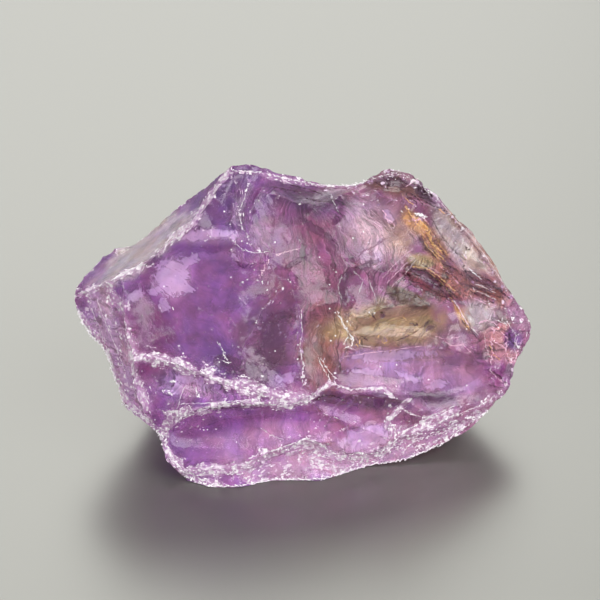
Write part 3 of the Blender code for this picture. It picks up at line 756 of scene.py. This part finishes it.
# %% Streaks of the cracks, and the crisp rims of the painted reflections and the painted shade
SWIRL = 3.0
FAINT = 0.06
RIM_RAGGED = 2.2
REFLECTION_RIM = (0.46, 0.60)
SHADE_RIM = (0.40, 0.64)

swirled = moved_by(noise_pattern(2.6, 3.0)["Color"], (SWIRL, SWIRL, 0.0), arc_place)
hackles = streak_pattern(swirled, 3.2, 0.28)
streaks = maths("MULTIPLY", maths("SUBTRACT", hackles, MIDDLE), maths("ADD", streak_strength, FAINT))
rim_noise = maths("MULTIPLY", maths("SUBTRACT", maths("ADD", medium, hackles), 2 * MIDDLE), RIM_RAGGED)
reflection_share = ranged(maths("ADD", reflection_value, rim_noise), *REFLECTION_RIM)
shade_share = ranged(maths("ADD", shade_value, rim_noise), *SHADE_RIM)

# %% Colour, roughness and clarity
CLARITY = 0.76
BLOOM_CLARITY = 0.45
CRUST_CLARITY = 0.22
FACE_ROUGHNESS = 0.07
BLOOM_ROUGHNESS = 0.30
INNER_ROUGHNESS = 0.42
SHADE_STRENGTH = 0.7
BLOOM_STRENGTH = 0.75
REFLECTION_MIST = 0.6
COOL = (0.94, 0.94, 1.10, 1.0)
WARM = (1.10, 1.0, 0.90, 1.0)

mottle = ranged(noise_pattern(1.5, 5.0, 0.6)["Fac"], 0.3, 0.7, 0.78, 1.22)
lines = ranged(streaks, -0.20, 0.20, 0.22, 2.0)
warmth = ranged(noise_pattern(2.2, 3.0)["Fac"], 0.35, 0.65)
hue = mixed(warmth, COOL, WARM)
hued = add(tree, "ShaderNodeVectorMath", {0: tint_value, 1: hue}, operation="MULTIPLY").outputs[0]
shading = maths("MULTIPLY", mottle, lines)
shade = add(tree, "ShaderNodeVectorMath", {0: hued, "Scale": shading}, operation="SCALE").outputs[0]
# Painted shade: the dark places are mixed towards a near-black violet.
shaded_colour = mixed(maths("MULTIPLY", shade_share, SHADE_STRENGTH), shade, painted(SHADE_COLOUR))
# Painted reflections: the pale places are mixed towards a pale lilac.
reflected_colour = mixed(maths("MULTIPLY", reflection_share, fine), shaded_colour, painted(REFLECTION_LILAC))
bloomed = mixed(maths("MULTIPLY", bloom, BLOOM_STRENGTH), reflected_colour, painted(DUSTY))
grain_light = maths("ADD", maths("MULTIPLY", cell_values["Green"], 0.7), maths("MULTIPLY", fine, 0.6))
dull = mixed(ranged(grain_light, 0.25, 0.60), painted(GRAIN_DARK), painted(GRAIN_MIDDLE))
crust = mixed(ranged(grain_light, 0.62, 0.84), dull, painted(SPARKLE))
colour = mixed(crushed, bloomed, crust)
tree.links.new(mixed(specks, colour, painted(SPARKLE)), shader.inputs["Base Color"])

misty = maths("MAXIMUM", bloom, maths("MULTIPLY", reflection_share, REFLECTION_MIST))
outer_roughness = ranged(misty, 0.0, 1.0, FACE_ROUGHNESS, BLOOM_ROUGHNESS)
inner_roughness = ranged(inner_value, 0.0, 1.0, 0.0, INNER_ROUGHNESS)
tree.links.new(maths("MAXIMUM", outer_roughness, inner_roughness), shader.inputs["Roughness"])
misty_clarity = ranged(misty, 0.0, 1.0, CLARITY, BLOOM_CLARITY)
whole = maths("SUBTRACT", 1.0, maths("MAXIMUM", crushed, specks))
clarity = maths("MAXIMUM", maths("MULTIPLY", misty_clarity, whole), CRUST_CLARITY)
tree.links.new(clarity, shader.inputs["Transmission Weight"])

# %% Relief of the grains and streaks
RELIEF = 0.10
CRISP_SHARE = 0.4
STREAK_SHARE = 0.7

grain_relief = maths("MULTIPLY", maths("ADD", maths("ADD", cell_values["Blue"], fibres), fine), bloom)
crisp_relief = maths("MULTIPLY", maths("SUBTRACT", reflection_share, shade_share), CRISP_SHARE)
streak_relief = maths("MULTIPLY", streaks, STREAK_SHARE)
relief = maths("ADD", maths("ADD", grain_relief, crisp_relief), streak_relief)
bump = add(tree, "ShaderNodeBump", {"Height": relief, "Distance": RELIEF * MM, "Strength": 1.0})
tree.links.new(bump.outputs["Normal"], shader.inputs["Normal"])

# %% The body of the stone
BODY_COLOUR = (0.76, 0.52, 0.78, 1.0)
BODY_DENSITY = 18.0

depth = add(tree, "ShaderNodeVolumeAbsorption", {"Color": BODY_COLOUR, "Density": BODY_DENSITY})
tree.links.new(depth.outputs["Volume"], tree.nodes["Material Output"].inputs["Volume"])
print(len(tree.nodes), "material nodes")

# %% The stone takes the solid's place
SHARP_EDGE = math.radians(38)

skin.materials.clear()
skin.materials.append(material)
skin.shade_smooth()
stone = bpy.data.objects.new("amethyst_stone", skin)
bpy.context.scene.collection.objects.link(stone)
skin.set_sharp_from_angle(angle=SHARP_EDGE)
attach(stone, "root")
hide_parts("amethyst")

# %% [markdown]
# ## Splinters
#
# The crushed ridges and the open cracks are full of tiny splinters that flash. They are all the
# same sort of thing, so Geometry Nodes lays out one small splinter again and again: over the
# frosty skin for the ridges, and along drawn lines for the cracks. Each is turned and sized a
# little differently. The tree ends in plain mesh, because copies would be lost on export.

# %% Splinter materials
SPLINTER_ROUGHNESS = 0.18


def splinter_material(name, colour, clarity):
    look = {"Base Color": painted(colour), "Roughness": SPLINTER_ROUGHNESS, "IOR": QUARTZ_INDEX}
    return new_material(name, {**look, "Transmission Weight": clarity})[0]


# White splinters are frost, and along a few lines painted highlights.
WHITE_SPLINTERS_AND_HIGHLIGHTS = splinter_material("white_splinters_and_highlights", (0.98, 0.94, 0.97), 0.0)
# The gold and pink splinters are painted glints.
GOLD_GLINT_PAINT = splinter_material("painted_gold_glints", (0.98, 0.60, 0.27), 0.2)
PINK_GLINT_PAINT = splinter_material("painted_pink_glints", (0.98, 0.62, 0.80), 0.1)
# Dark splinters are mostly painted shadows, and dark specks at the knob.
SHADOW_AND_SPECK_PAINT = splinter_material("painted_shadows_and_specks", (0.08, 0.03, 0.05), 0.2)

# %% Trees that lay out splinters
SPLINTER = {"Vertices": 4, "Radius Top": 0.22, "Radius Bottom": 0.5, "Depth": 1.0}
SMALLEST = (0.5, 0.5, 0.5)
LARGEST = (1.2, 1.2, 1.5)
JITTER = 0.5
FROST_LEAST = 0.48  # no splinters lie where there is less frost


def new_tree(name, sizes):
    """A Geometry Nodes tree with a geometry input and named numbers."""
    tree = bpy.data.node_groups.new(name, "GeometryNodeTree")
    face = tree.interface
    face.new_socket("Geometry", in_out="INPUT", socket_type="NodeSocketGeometry")
    face.new_socket("Material", in_out="INPUT", socket_type="NodeSocketMaterial")
    for size_name in sizes:
        face.new_socket(size_name, in_out="INPUT", socket_type="NodeSocketFloat")
    face.new_socket("Seed", in_out="INPUT", socket_type="NodeSocketInt")
    face.new_socket("Geometry", in_out="OUTPUT", socket_type="NodeSocketGeometry")
    return tree, tree.nodes.new("NodeGroupInput").outputs


def random_vector(tree, low, high, seed):
    values = {"Min": low, "Max": high, "Seed": seed}
    return add(tree, "FunctionNodeRandomValue", values, data_type="FLOAT_VECTOR").outputs["Value"]


def lay_splinters(tree, given, points, heading, thickness):
    """One splinter on every point, lying along the heading but for a jitter."""
    splinter = add(tree, "GeometryNodeMeshCone", SPLINTER).outputs["Mesh"]
    to_middle = (0.0, 0.0, -SPLINTER["Depth"] / 2)
    centred = add(tree, "GeometryNodeTransform", {"Geometry": splinter, "Translation": to_middle}).outputs[0]
    laid = add(tree, "FunctionNodeAlignRotationToVector", {"Vector": heading}, axis="Z").outputs[0]
    turn = random_vector(tree, (-JITTER, -JITTER, 0.0), (JITTER, JITTER, math.tau), given["Seed"])
    turned = add(tree, "FunctionNodeRotateRotation", {0: laid, 1: turn}, rotation_space="LOCAL").outputs[0]
    form = random_vector(tree, SMALLEST, LARGEST, given["Seed"])
    slender = add(tree, "ShaderNodeCombineXYZ", {0: thickness, 1: thickness, 2: given["Length"]}).outputs[0]
    size = add(tree, "ShaderNodeVectorMath", {0: form, 1: slender}, operation="MULTIPLY").outputs[0]
    placing = {"Points": points, "Instance": centred, "Rotation": turned, "Scale": size}
    copies = add(tree, "GeometryNodeInstanceOnPoints", placing).outputs["Instances"]
    real = add(tree, "GeometryNodeRealizeInstances", {"Geometry": copies}).outputs["Geometry"]
    finish = add(tree, "GeometryNodeSetMaterial", {"Geometry": real, "Material": given["Material"]})
    add(tree, "NodeGroupOutput", {"Geometry": finish.outputs["Geometry"]})


def named_value(tree, name, kind):
    return add(tree, "GeometryNodeInputNamedAttribute", {"Name": name}, data_type=kind).outputs["Attribute"]


def crust_tree():
    """Splinters scattered over the frosty skin, along the ridges."""
    tree, given = new_tree("crust", ["Length", "Thickness", "Density"])
    limits = {"Value": named_value(tree, "frost", "FLOAT"), "From Min": FROST_LEAST, "From Max": 1.0}
    share = add(tree, "ShaderNodeMapRange", limits).outputs["Result"]
    amount = add(tree, "ShaderNodeMath", {0: share, 1: given["Density"]}, operation="MULTIPLY").outputs[0]
    scattering = {"Mesh": given["Geometry"], "Density": amount, "Seed": given["Seed"]}
    points = add(tree, "GeometryNodeDistributePointsOnFaces", scattering).outputs["Points"]
    heading = named_value(tree, "along", "FLOAT_VECTOR")
    lay_splinters(tree, given, points, heading, given["Thickness"])
    return tree


def crack_tree():
    """Splinters laid along drawn lines, scattered to both sides by a share of their thickness."""
    tree, given = new_tree("crack", ["Length", "Spacing", "Scatter"])
    curve = add(tree, "GeometryNodeMeshToCurve", {"Mesh": given["Geometry"]}).outputs["Curve"]
    spacing = {"Curve": curve, "Length": given["Spacing"]}
    spaced = add(tree, "GeometryNodeResampleCurve", spacing, mode="LENGTH").outputs["Curve"]
    thickness = named_value(tree, "thickness", "FLOAT")
    stray = random_vector(tree, (-1.0, -1.0, -1.0), (1.0, 1.0, 1.0), given["Seed"])
    reach = add(tree, "ShaderNodeMath", {0: thickness, 1: given["Scatter"]}, operation="MULTIPLY").outputs[0]
    offset = add(tree, "ShaderNodeVectorMath", {0: stray, "Scale": reach}, operation="SCALE").outputs[0]
    points = add(tree, "GeometryNodeSetPosition", {"Geometry": spaced, "Offset": offset}).outputs["Geometry"]
    heading = add(tree, "GeometryNodeInputTangent").outputs["Tangent"]
    lay_splinters(tree, given, points, heading, thickness)
    return tree


def grow(mesh, tree, name, values):
    """Adds the plain mesh that a tree makes from a mesh, kept inside the solid's box."""
    carrier = bpy.data.objects.new(name + "_carrier", mesh)
    bpy.context.scene.collection.objects.link(carrier)
    step = carrier.modifiers.new("splinters", "NODES")
    step.node_group = tree
    sockets = {item.name: item.identifier for item in tree.interface.items_tree if item.in_out == "INPUT"}
    for value_name, value in values.items():
        step[sockets[value_name]] = value
    bpy.context.view_layer.update()
    made = evaluated(carrier, name)
    bpy.data.objects.remove(carrier, do_unlink=True)
    corners = np.array([vertex.co for vertex in made.vertices])
    corners = np.clip(corners, np.array(cad_low), np.array(cad_high))
    made.vertices.foreach_set("co", corners.astype(np.float32).ravel())
    piece = bpy.data.objects.new(name, made)
    bpy.context.scene.collection.objects.link(piece)
    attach(piece, "root")
    print(name, len(made.polygons), "faces")


# %% Splinters over the frosty ridges
crust = crust_tree()
SPLINTERS = {
    "long_splinters": {"Length": 0.34 * MM, "Thickness": 0.055 * MM, "Density": 6.0 / MM**2, "Seed": 5},
    "short_splinters": {"Length": 0.17 * MM, "Thickness": 0.12 * MM, "Density": 9.0 / MM**2, "Seed": 8},
}
for name, values in SPLINTERS.items():
    grow(skin.copy(), crust, name, {"Material": WHITE_SPLINTERS_AND_HIGHLIGHTS, **values})

# %% [markdown]
# ## Open cracks, painted glints and painted shadows
#
# Fine bright lines, gold glints and dark lines follow the cracks on the right. The pink and gold
# glints and a few short white lines are painted highlights and reflections, and most dark lines
# are painted shadows of small steps and pits. They are drawn as lines in the view, laid on the
# skin, and filled with splinters.

# %% Lines in the view: thickness, then corners
WHITE_CRACKS_AND_HIGHLIGHTS = [
    (0.26, [(-20.7, 16.4), (-20.3, 15.0), (-19.3, 13.4), (-18.2, 12.2), (-16.9, 8.9), (-16.5, 7.4)]),
    (0.34, [(-16.5, 7.4), (-14.5, 6.2), (-12.9, 4.4), (-11.9, 2.4), (-10.5, 0.8), (-8.6, 0.1)]),
    (
        0.22,
        [(-8.6, 0.1), (-6.1, 0.1), (-2.8, 0.7), (1.6, 0.7), (5.7, 1.9), (9.2, 2.4), (12.4, 3.7), (16.8, 6.8)],
    ),
    (0.12, [(-0.3, 16.0), (-0.2, 14.1), (-0.4, 12.7), (-0.1, 11.2), (-0.2, 9.7)]),
    (0.18, [(3.0, 15.8), (3.6, 14.6), (4.4, 13.4), (4.2, 12.8), (3.7, 12.6)]),
    (0.18, [(4.4, 13.4), (3.9, 13.6), (3.5, 13.0)]),
    (0.12, [(1.3, 11.6), (1.7, 10.8), (2.3, 9.8)]),
    (0.12, [(1.5, 11.7), (2.0, 10.8), (2.8, 9.9)]),
    (0.18, [(0.5, 8.1), (1.3, 8.8), (2.3, 9.5), (4.1, 8.9), (5.9, 9.0), (7.2, 9.0), (8.1, 8.2), (7.3, 8.5)]),
    (0.20, [(7.5, 6.3), (8.2, 5.4), (8.3, 4.5), (8.0, 3.6), (7.2, 2.9)]),
    (0.16, [(8.6, 7.3), (9.7, 6.6), (11.0, 6.3), (12.5, 6.8), (13.7, 7.3)]),
    (0.16, [(8.1, 4.0), (9.2, 5.1), (10.5, 5.7), (11.6, 5.3), (12.8, 6.1), (13.9, 6.6)]),
    (0.14, [(8.8, 2.9), (9.9, 4.0), (11.0, 4.4), (12.5, 4.8)]),
    (0.12, [(13.4, 6.3), (14.5, 6.7), (16.0, 7.3), (17.1, 7.9)]),
    (0.05, [(10.5, 21.1), (9.5, 19.8), (8.4, 18.5)]),
    (0.08, [(2.4, 26.5), (2.7, 25.6), (3.1, 24.8)]),
    (0.18, [(15.2, 19.8), (15.7, 19.3), (16.4, 18.8)]),
    (0.12, [(15.7, 18.4), (16.5, 18.1), (17.4, 17.7)]),
    (0.12, [(15.3, 18.0), (16.4, 17.5), (17.6, 17.0)]),
    # Painted highlights: this line and the three below are glints of light, not cracks.
    (0.40, [(9.9, 24.8), (10.4, 24.7), (11.0, 24.5)]),
    (0.50, [(-12.7, 8.9), (-12.3, 8.7), (-11.9, 8.5)]),
    (0.35, [(-12.2, 9.7), (-11.6, 9.6)]),
    (0.30, [(-9.8, 8.9), (-9.6, 8.6), (-9.4, 8.2)]),
    (0.10, [(13.5, 17.0), (14.2, 16.0), (14.7, 15.0), (15.7, 13.9)]),
    (0.06, [(16.4, 13.8), (16.6, 12.6), (17.0, 11.6), (17.0, 10.6)]),
    (0.06, [(18.8, 14.6), (19.4, 13.8), (19.2, 12.6), (19.6, 11.8)]),
    (0.07, [(17.4, 15.2), (18.3, 14.8), (19.2, 14.9)]),
    (0.16, [(-7.8, 13.1), (-7.2, 12.3), (-7.5, 11.6), (-6.7, 11.3), (-7.3, 12.1)]),
    (0.14, [(-8.2, 11.0), (-8.8, 10.8), (-9.3, 10.4)]),
    (0.06, [(3.3, 19.0), (3.0, 18.2), (3.3, 17.2)]),
    (0.06, [(4.4, 19.6), (5.3, 18.7), (4.9, 17.6)]),
    (0.06, [(5.9, 18.6), (6.2, 17.8), (6.5, 17.0)]),
    (0.10, [(-6.5, 22.4), (-5.6, 21.5), (-4.4, 21.2), (-3.3, 21.3)]),
    (0.08, [(-5.3, 26.4), (-5.9, 24.9), (-5.6, 23.5), (-5.0, 22.7)]),
    (0.20, [(-5.0, 2.7), (-3.7, 3.2), (-2.4, 3.5), (-1.1, 4.0), (0.2, 4.5), (1.5, 3.9), (2.9, 2.9)]),
    (0.10, [(-3.9, 5.4), (-3.1, 4.8), (-2.0, 4.4)]),
    (0.10, [(-10.8, 9.2), (-11.2, 8.1), (-11.4, 7.3)]),
    (0.10, [(-11.4, 7.6), (-9.1, 7.7), (-6.3, 7.9), (-3.9, 8.1)]),
    (0.10, [(-18.7, 16.9), (-18.0, 15.0), (-17.1, 12.7), (-16.3, 10.5)]),
    (0.10, [(-19.4, 16.4), (-18.5, 13.7), (-17.6, 11.7)]),
    (0.14, [(-6.2, 28.6), (-3.9, 28.5), (-1.3, 27.9), (1.5, 27.4), (4.2, 27.4), (6.2, 28.0), (8.6, 28.6)]),
    (0.08, [(8.6, 28.6), (11.4, 27.0), (12.5, 25.9), (14.1, 24.1), (15.4, 22.8), (17.4, 20.0), (18.6, 18.0)]),
]
# Painted highlights: pink glints of light.
PINK_GLINT_LINES = [
    (0.24, [(-3.3, 20.4), (-3.7, 19.6), (-4.0, 19.0)]),
    (0.20, [(-2.6, 20.9), (-1.7, 21.3), (-0.6, 21.6)]),
    (0.26, [(7.2, 25.0), (7.5, 24.3), (8.1, 23.8)]),
    (0.20, [(10.0, 24.2), (10.8, 24.4), (11.3, 24.0)]),
    (0.10, [(3.7, 11.9), (5.6, 12.2), (7.5, 12.4), (8.8, 12.6), (10.5, 12.8)]),
    (0.10, [(7.4, 18.5), (8.3, 19.4), (9.1, 20.2), (10.4, 21.1)]),
    (0.08, [(7.0, 18.9), (7.9, 19.9), (8.8, 20.8), (9.8, 21.6)]),
    (0.08, [(8.0, 18.3), (8.8, 19.1), (9.7, 20.0)]),
    (0.12, [(12.4, 19.9), (13.4, 19.3), (14.0, 18.4)]),
    (0.14, [(13.9, 16.6), (14.3, 15.6), (14.9, 14.7)]),
    (0.12, [(15.0, 17.3), (16.2, 16.8), (17.4, 16.3)]),
    (0.24, [(17.3, 14.2), (17.0, 13.2), (17.2, 12.2), (17.0, 11.2)]),
    (0.20, [(18.0, 14.0), (18.6, 13.4), (18.4, 12.4)]),
    (0.30, [(19.6, 12.4), (19.3, 11.6), (18.8, 11.2)]),
    (0.16, [(15.9, 14.9), (16.6, 15.1), (17.3, 14.9), (17.8, 14.4)]),
    (0.12, [(12.6, 13.3), (13.4, 12.8), (14.4, 12.9), (15.2, 12.2)]),
    (0.10, [(12.0, 13.6), (13.0, 13.4), (14.0, 13.6)]),
    (0.16, [(17.2, 13.2), (18.2, 12.7), (18.7, 11.7)]),
    (0.16, [(16.9, 10.6), (17.6, 9.9), (18.5, 9.2)]),
    (0.10, [(9.2, 27.3), (9.7, 27.6), (10.4, 28.1)]),
]
# Painted reflections: gold glints of light inside the stone.
GOLD_GLINT_LINES = [
    (0.18, [(9.1, 25.5), (9.7, 24.6), (10.6, 23.8), (11.3, 23.2), (11.5, 22.2), (11.9, 21.3), (12.8, 20.6)]),
    (0.24, [(10.0, 24.0), (11.0, 23.3), (11.7, 22.0), (12.5, 21.3)]),
    (0.30, [(10.0, 24.5), (10.7, 23.9), (11.3, 23.4)]),
    (0.12, [(10.7, 23.0), (11.0, 22.0), (11.7, 21.2), (12.2, 20.6)]),
    (0.10, [(12.0, 22.6), (12.5, 21.8), (13.1, 21.1)]),
    (0.14, [(13.3, 17.2), (13.7, 16.3), (14.0, 15.8), (14.6, 14.9), (15.0, 14.3)]),
    (0.14, [(9.8, 20.0), (11.0, 19.9), (12.1, 19.2), (13.0, 18.4), (13.6, 17.8)]),
    (0.08, [(11.4, 19.4), (12.4, 18.6), (13.2, 17.6)]),
    (0.16, [(4.7, 12.9), (5.0, 13.3)]),
    (0.14, [(6.6, 13.6), (6.8, 13.8)]),
    (0.14, [(5.9, 14.4), (6.1, 14.3)]),
    (0.14, [(7.6, 14.6), (7.8, 14.9)]),
    (0.14, [(7.1, 13.1), (7.6, 13.2)]),
    (0.12, [(9.0, 15.4), (9.2, 15.2)]),
    (0.14, [(16.9, 12.8), (17.3, 12.0), (17.9, 11.5)]),
    (0.12, [(9.0, 26.4), (9.4, 25.9), (9.9, 25.6)]),
    (0.16, [(12.3, 25.2), (12.8, 24.9)]),
]
# Painted shadows: most of these dark lines are shadows of small steps, dark lens edges and pits. Those round
# the knob draw its dark specks.
SHADOW_AND_SPECK_LINES = [
    (0.20, [(9.8, 19.8), (10.9, 19.6), (12.1, 18.8), (13.2, 17.8), (13.8, 17.2)]),
    (0.18, [(14.6, 19.7), (15.6, 19.4), (16.7, 18.9), (17.7, 18.3)]),
    (0.12, [(15.1, 18.3), (16.3, 18.0), (17.6, 17.5)]),
    (0.12, [(-8.8, 7.2), (-6.2, 7.3), (-3.7, 7.6)]),
    (0.12, [(14.4, 15.0), (15.2, 14.1), (16.0, 13.2)]),
    (0.30, [(9.8, 27.6), (10.8, 27.1), (11.9, 26.3)]),
    (0.16, [(18.5, 11.8), (19.0, 11.0), (18.9, 10.1)]),
    (0.22, [(0.8, 7.9), (1.7, 8.4), (2.8, 8.3), (3.7, 7.9)]),
    (0.12, [(6.4, 27.7), (7.3, 27.1), (8.4, 27.0), (9.4, 26.8)]),
    (0.14, [(7.0, 28.1), (8.2, 28.0), (9.2, 27.6), (10.0, 27.0)]),
    (0.10, [(12.4, 25.6), (14.0, 24.0), (15.3, 22.5), (17.2, 19.9), (18.4, 17.9)]),
    (0.24, [(9.6, 19.8), (10.8, 19.6), (11.9, 18.9), (12.8, 18.1), (13.4, 17.2)]),
    (0.16, [(8.9, 18.9), (10.4, 18.5), (11.4, 18.0), (12.4, 17.4), (13.3, 16.8)]),
    (0.12, [(10.0, 19.3), (11.2, 18.8), (12.2, 18.1), (12.9, 17.4)]),
    (0.12, [(9.6, 18.4), (10.7, 18.0), (11.8, 17.3)]),
    (0.26, [(14.5, 20.0), (15.1, 19.1), (16.2, 18.5), (17.7, 18.0), (18.8, 17.2)]),
    (0.18, [(15.4, 18.2), (16.7, 17.6), (18.2, 17.2)]),
    (0.14, [(15.1, 17.8), (16.3, 17.1), (17.4, 16.7)]),
    (0.12, [(12.6, 20.2), (13.6, 19.9), (14.4, 19.2)]),
    (0.12, [(12.9, 19.5), (13.8, 19.0), (14.4, 18.3)]),
    (0.14, [(7.4, 17.5), (8.7, 17.7), (10.2, 17.2), (11.4, 16.4)]),
    (0.10, [(11.6, 24.4), (12.5, 22.9), (13.7, 21.5), (14.9, 20.6)]),
    (0.08, [(12.1, 23.5), (13.0, 22.1), (14.1, 21.1)]),
    (0.10, [(12.2, 22.0), (12.9, 21.0), (13.8, 20.3)]),
    (0.34, [(14.8, 21.8), (15.1, 21.6)]),
    (0.30, [(9.8, 14.8), (10.2, 14.7)]),
    (0.26, [(6.2, 15.6), (6.4, 15.3)]),
    (0.26, [(7.0, 15.9), (7.2, 15.5)]),
    (0.20, [(5.2, 13.7), (5.6, 13.4)]),
    (0.16, [(8.4, 13.3), (9.4, 13.7), (10.4, 14.3), (11.2, 15.0)]),
    (0.24, [(18.7, 13.9), (19.0, 13.2), (19.5, 12.6)]),
    (0.20, [(17.2, 10.4), (17.9, 10.0), (18.5, 9.3)]),
    (0.20, [(17.0, 9.2), (17.6, 9.0), (18.2, 8.9)]),
    (0.14, [(9.3, 26.2), (10.2, 26.4), (11.2, 26.2), (12.0, 25.8)]),
    (0.08, [(3.4, 19.2), (4.2, 20.0), (5.4, 19.7), (6.0, 18.8)]),
    (0.20, [(7.2, 28.0), (7.8, 27.7)]),
    (0.24, [(8.3, 28.2), (8.8, 27.9)]),
    (0.20, [(7.6, 27.4), (8.3, 27.5)]),
    (0.26, [(9.0, 27.8), (9.6, 27.6)]),
    (0.30, [(10.3, 27.3), (11.0, 26.9), (11.8, 26.3)]),
    (0.26, [(10.7, 26.7), (11.4, 26.4)]),
    (0.20, [(9.2, 26.6), (9.8, 26.1), (10.2, 25.7)]),
    (0.16, [(9.6, 26.7), (10.3, 26.2), (10.7, 25.7)]),
    (0.16, [(12.8, 25.2), (13.3, 24.9), (13.8, 24.7)]),
    (0.14, [(11.0, 25.9), (11.8, 25.5), (12.6, 25.4)]),
    (0.12, [(-3.0, 27.2), (-1.8, 27.0), (-0.6, 26.8)]),
    (0.14, [(-1.2, 27.4), (0.4, 27.0), (1.6, 26.6)]),
    (0.12, [(0.2, 26.2), (1.6, 25.8), (2.8, 26.0)]),
]

# %% Lines laid on the skin
near_numbers = np.flatnonzero(near_side)
view_tree = kdtree.KDTree(len(near_numbers))
for number in near_numbers:
    view_tree.insert((*seen[number], 0.0), number)
view_tree.balance()
LINE_STEP = 0.12
LINE_SCALE = 0.42
LINE_SIZES = {"Length": 0.28 * MM, "Spacing": 0.10 * MM, "Scatter": 0.8}
VIEW_REACH = 0.1
NEIGHBOURS = 16
HIDDEN = 1.5 * MM  # a place so far behind its neighbours is out of sight


def on_skin(spot):
    """The place on the near skin that is seen at a spot in the view, or nearest to it."""
    neighbours = view_tree.find_n((*spot, 0.0), NEIGHBOURS)
    found = [(places[number] @ OUT, number, gap) for _, number, gap in neighbours]
    front = max(found)[0]
    _, number, gap = next(one for one in found if one[0] > front - HIDDEN)
    offset = (np.array(spot) - seen[number]) * min(1.0, VIEW_REACH / max(gap, VIEW_REACH))
    return places[number] + (offset[0] * ACROSS + offset[1] * RISE) * MM


def line_mesh(name, lines):
    """Wires through the corners of each line, laid on the skin."""
    form = bmesh.new()
    thickness = form.verts.layers.float.new("thickness")
    for width, corners in lines:
        ends = np.array(corners)
        spots = [spot for pair in zip(ends, ends[1:]) for spot in along(*pair, LINE_STEP)]
        wire = [form.verts.new(on_skin(spot)) for spot in (*spots, ends[-1])]
        for vertex in wire:
            vertex[thickness] = width * LINE_SCALE * MM
        for pair in zip(wire, wire[1:]):
            form.edges.new(pair)
    mesh = bpy.data.meshes.new(name)
    form.to_mesh(mesh)
    form.free()
    return mesh


crack = crack_tree()
LINE_GROUPS = {
    "white_cracks_and_highlights": (WHITE_CRACKS_AND_HIGHLIGHTS, WHITE_SPLINTERS_AND_HIGHLIGHTS, 11),
    "pink_glints": (PINK_GLINT_LINES, PINK_GLINT_PAINT, 12),
    "gold_glints": (GOLD_GLINT_LINES, GOLD_GLINT_PAINT, 13),
    "shadow_lines_and_specks": (SHADOW_AND_SPECK_LINES, SHADOW_AND_SPECK_PAINT, 14),
}
for name, (lines, line_material, seed) in LINE_GROUPS.items():
    grow(line_mesh(name, lines), crack, name, {"Material": line_material, "Seed": seed, **LINE_SIZES})
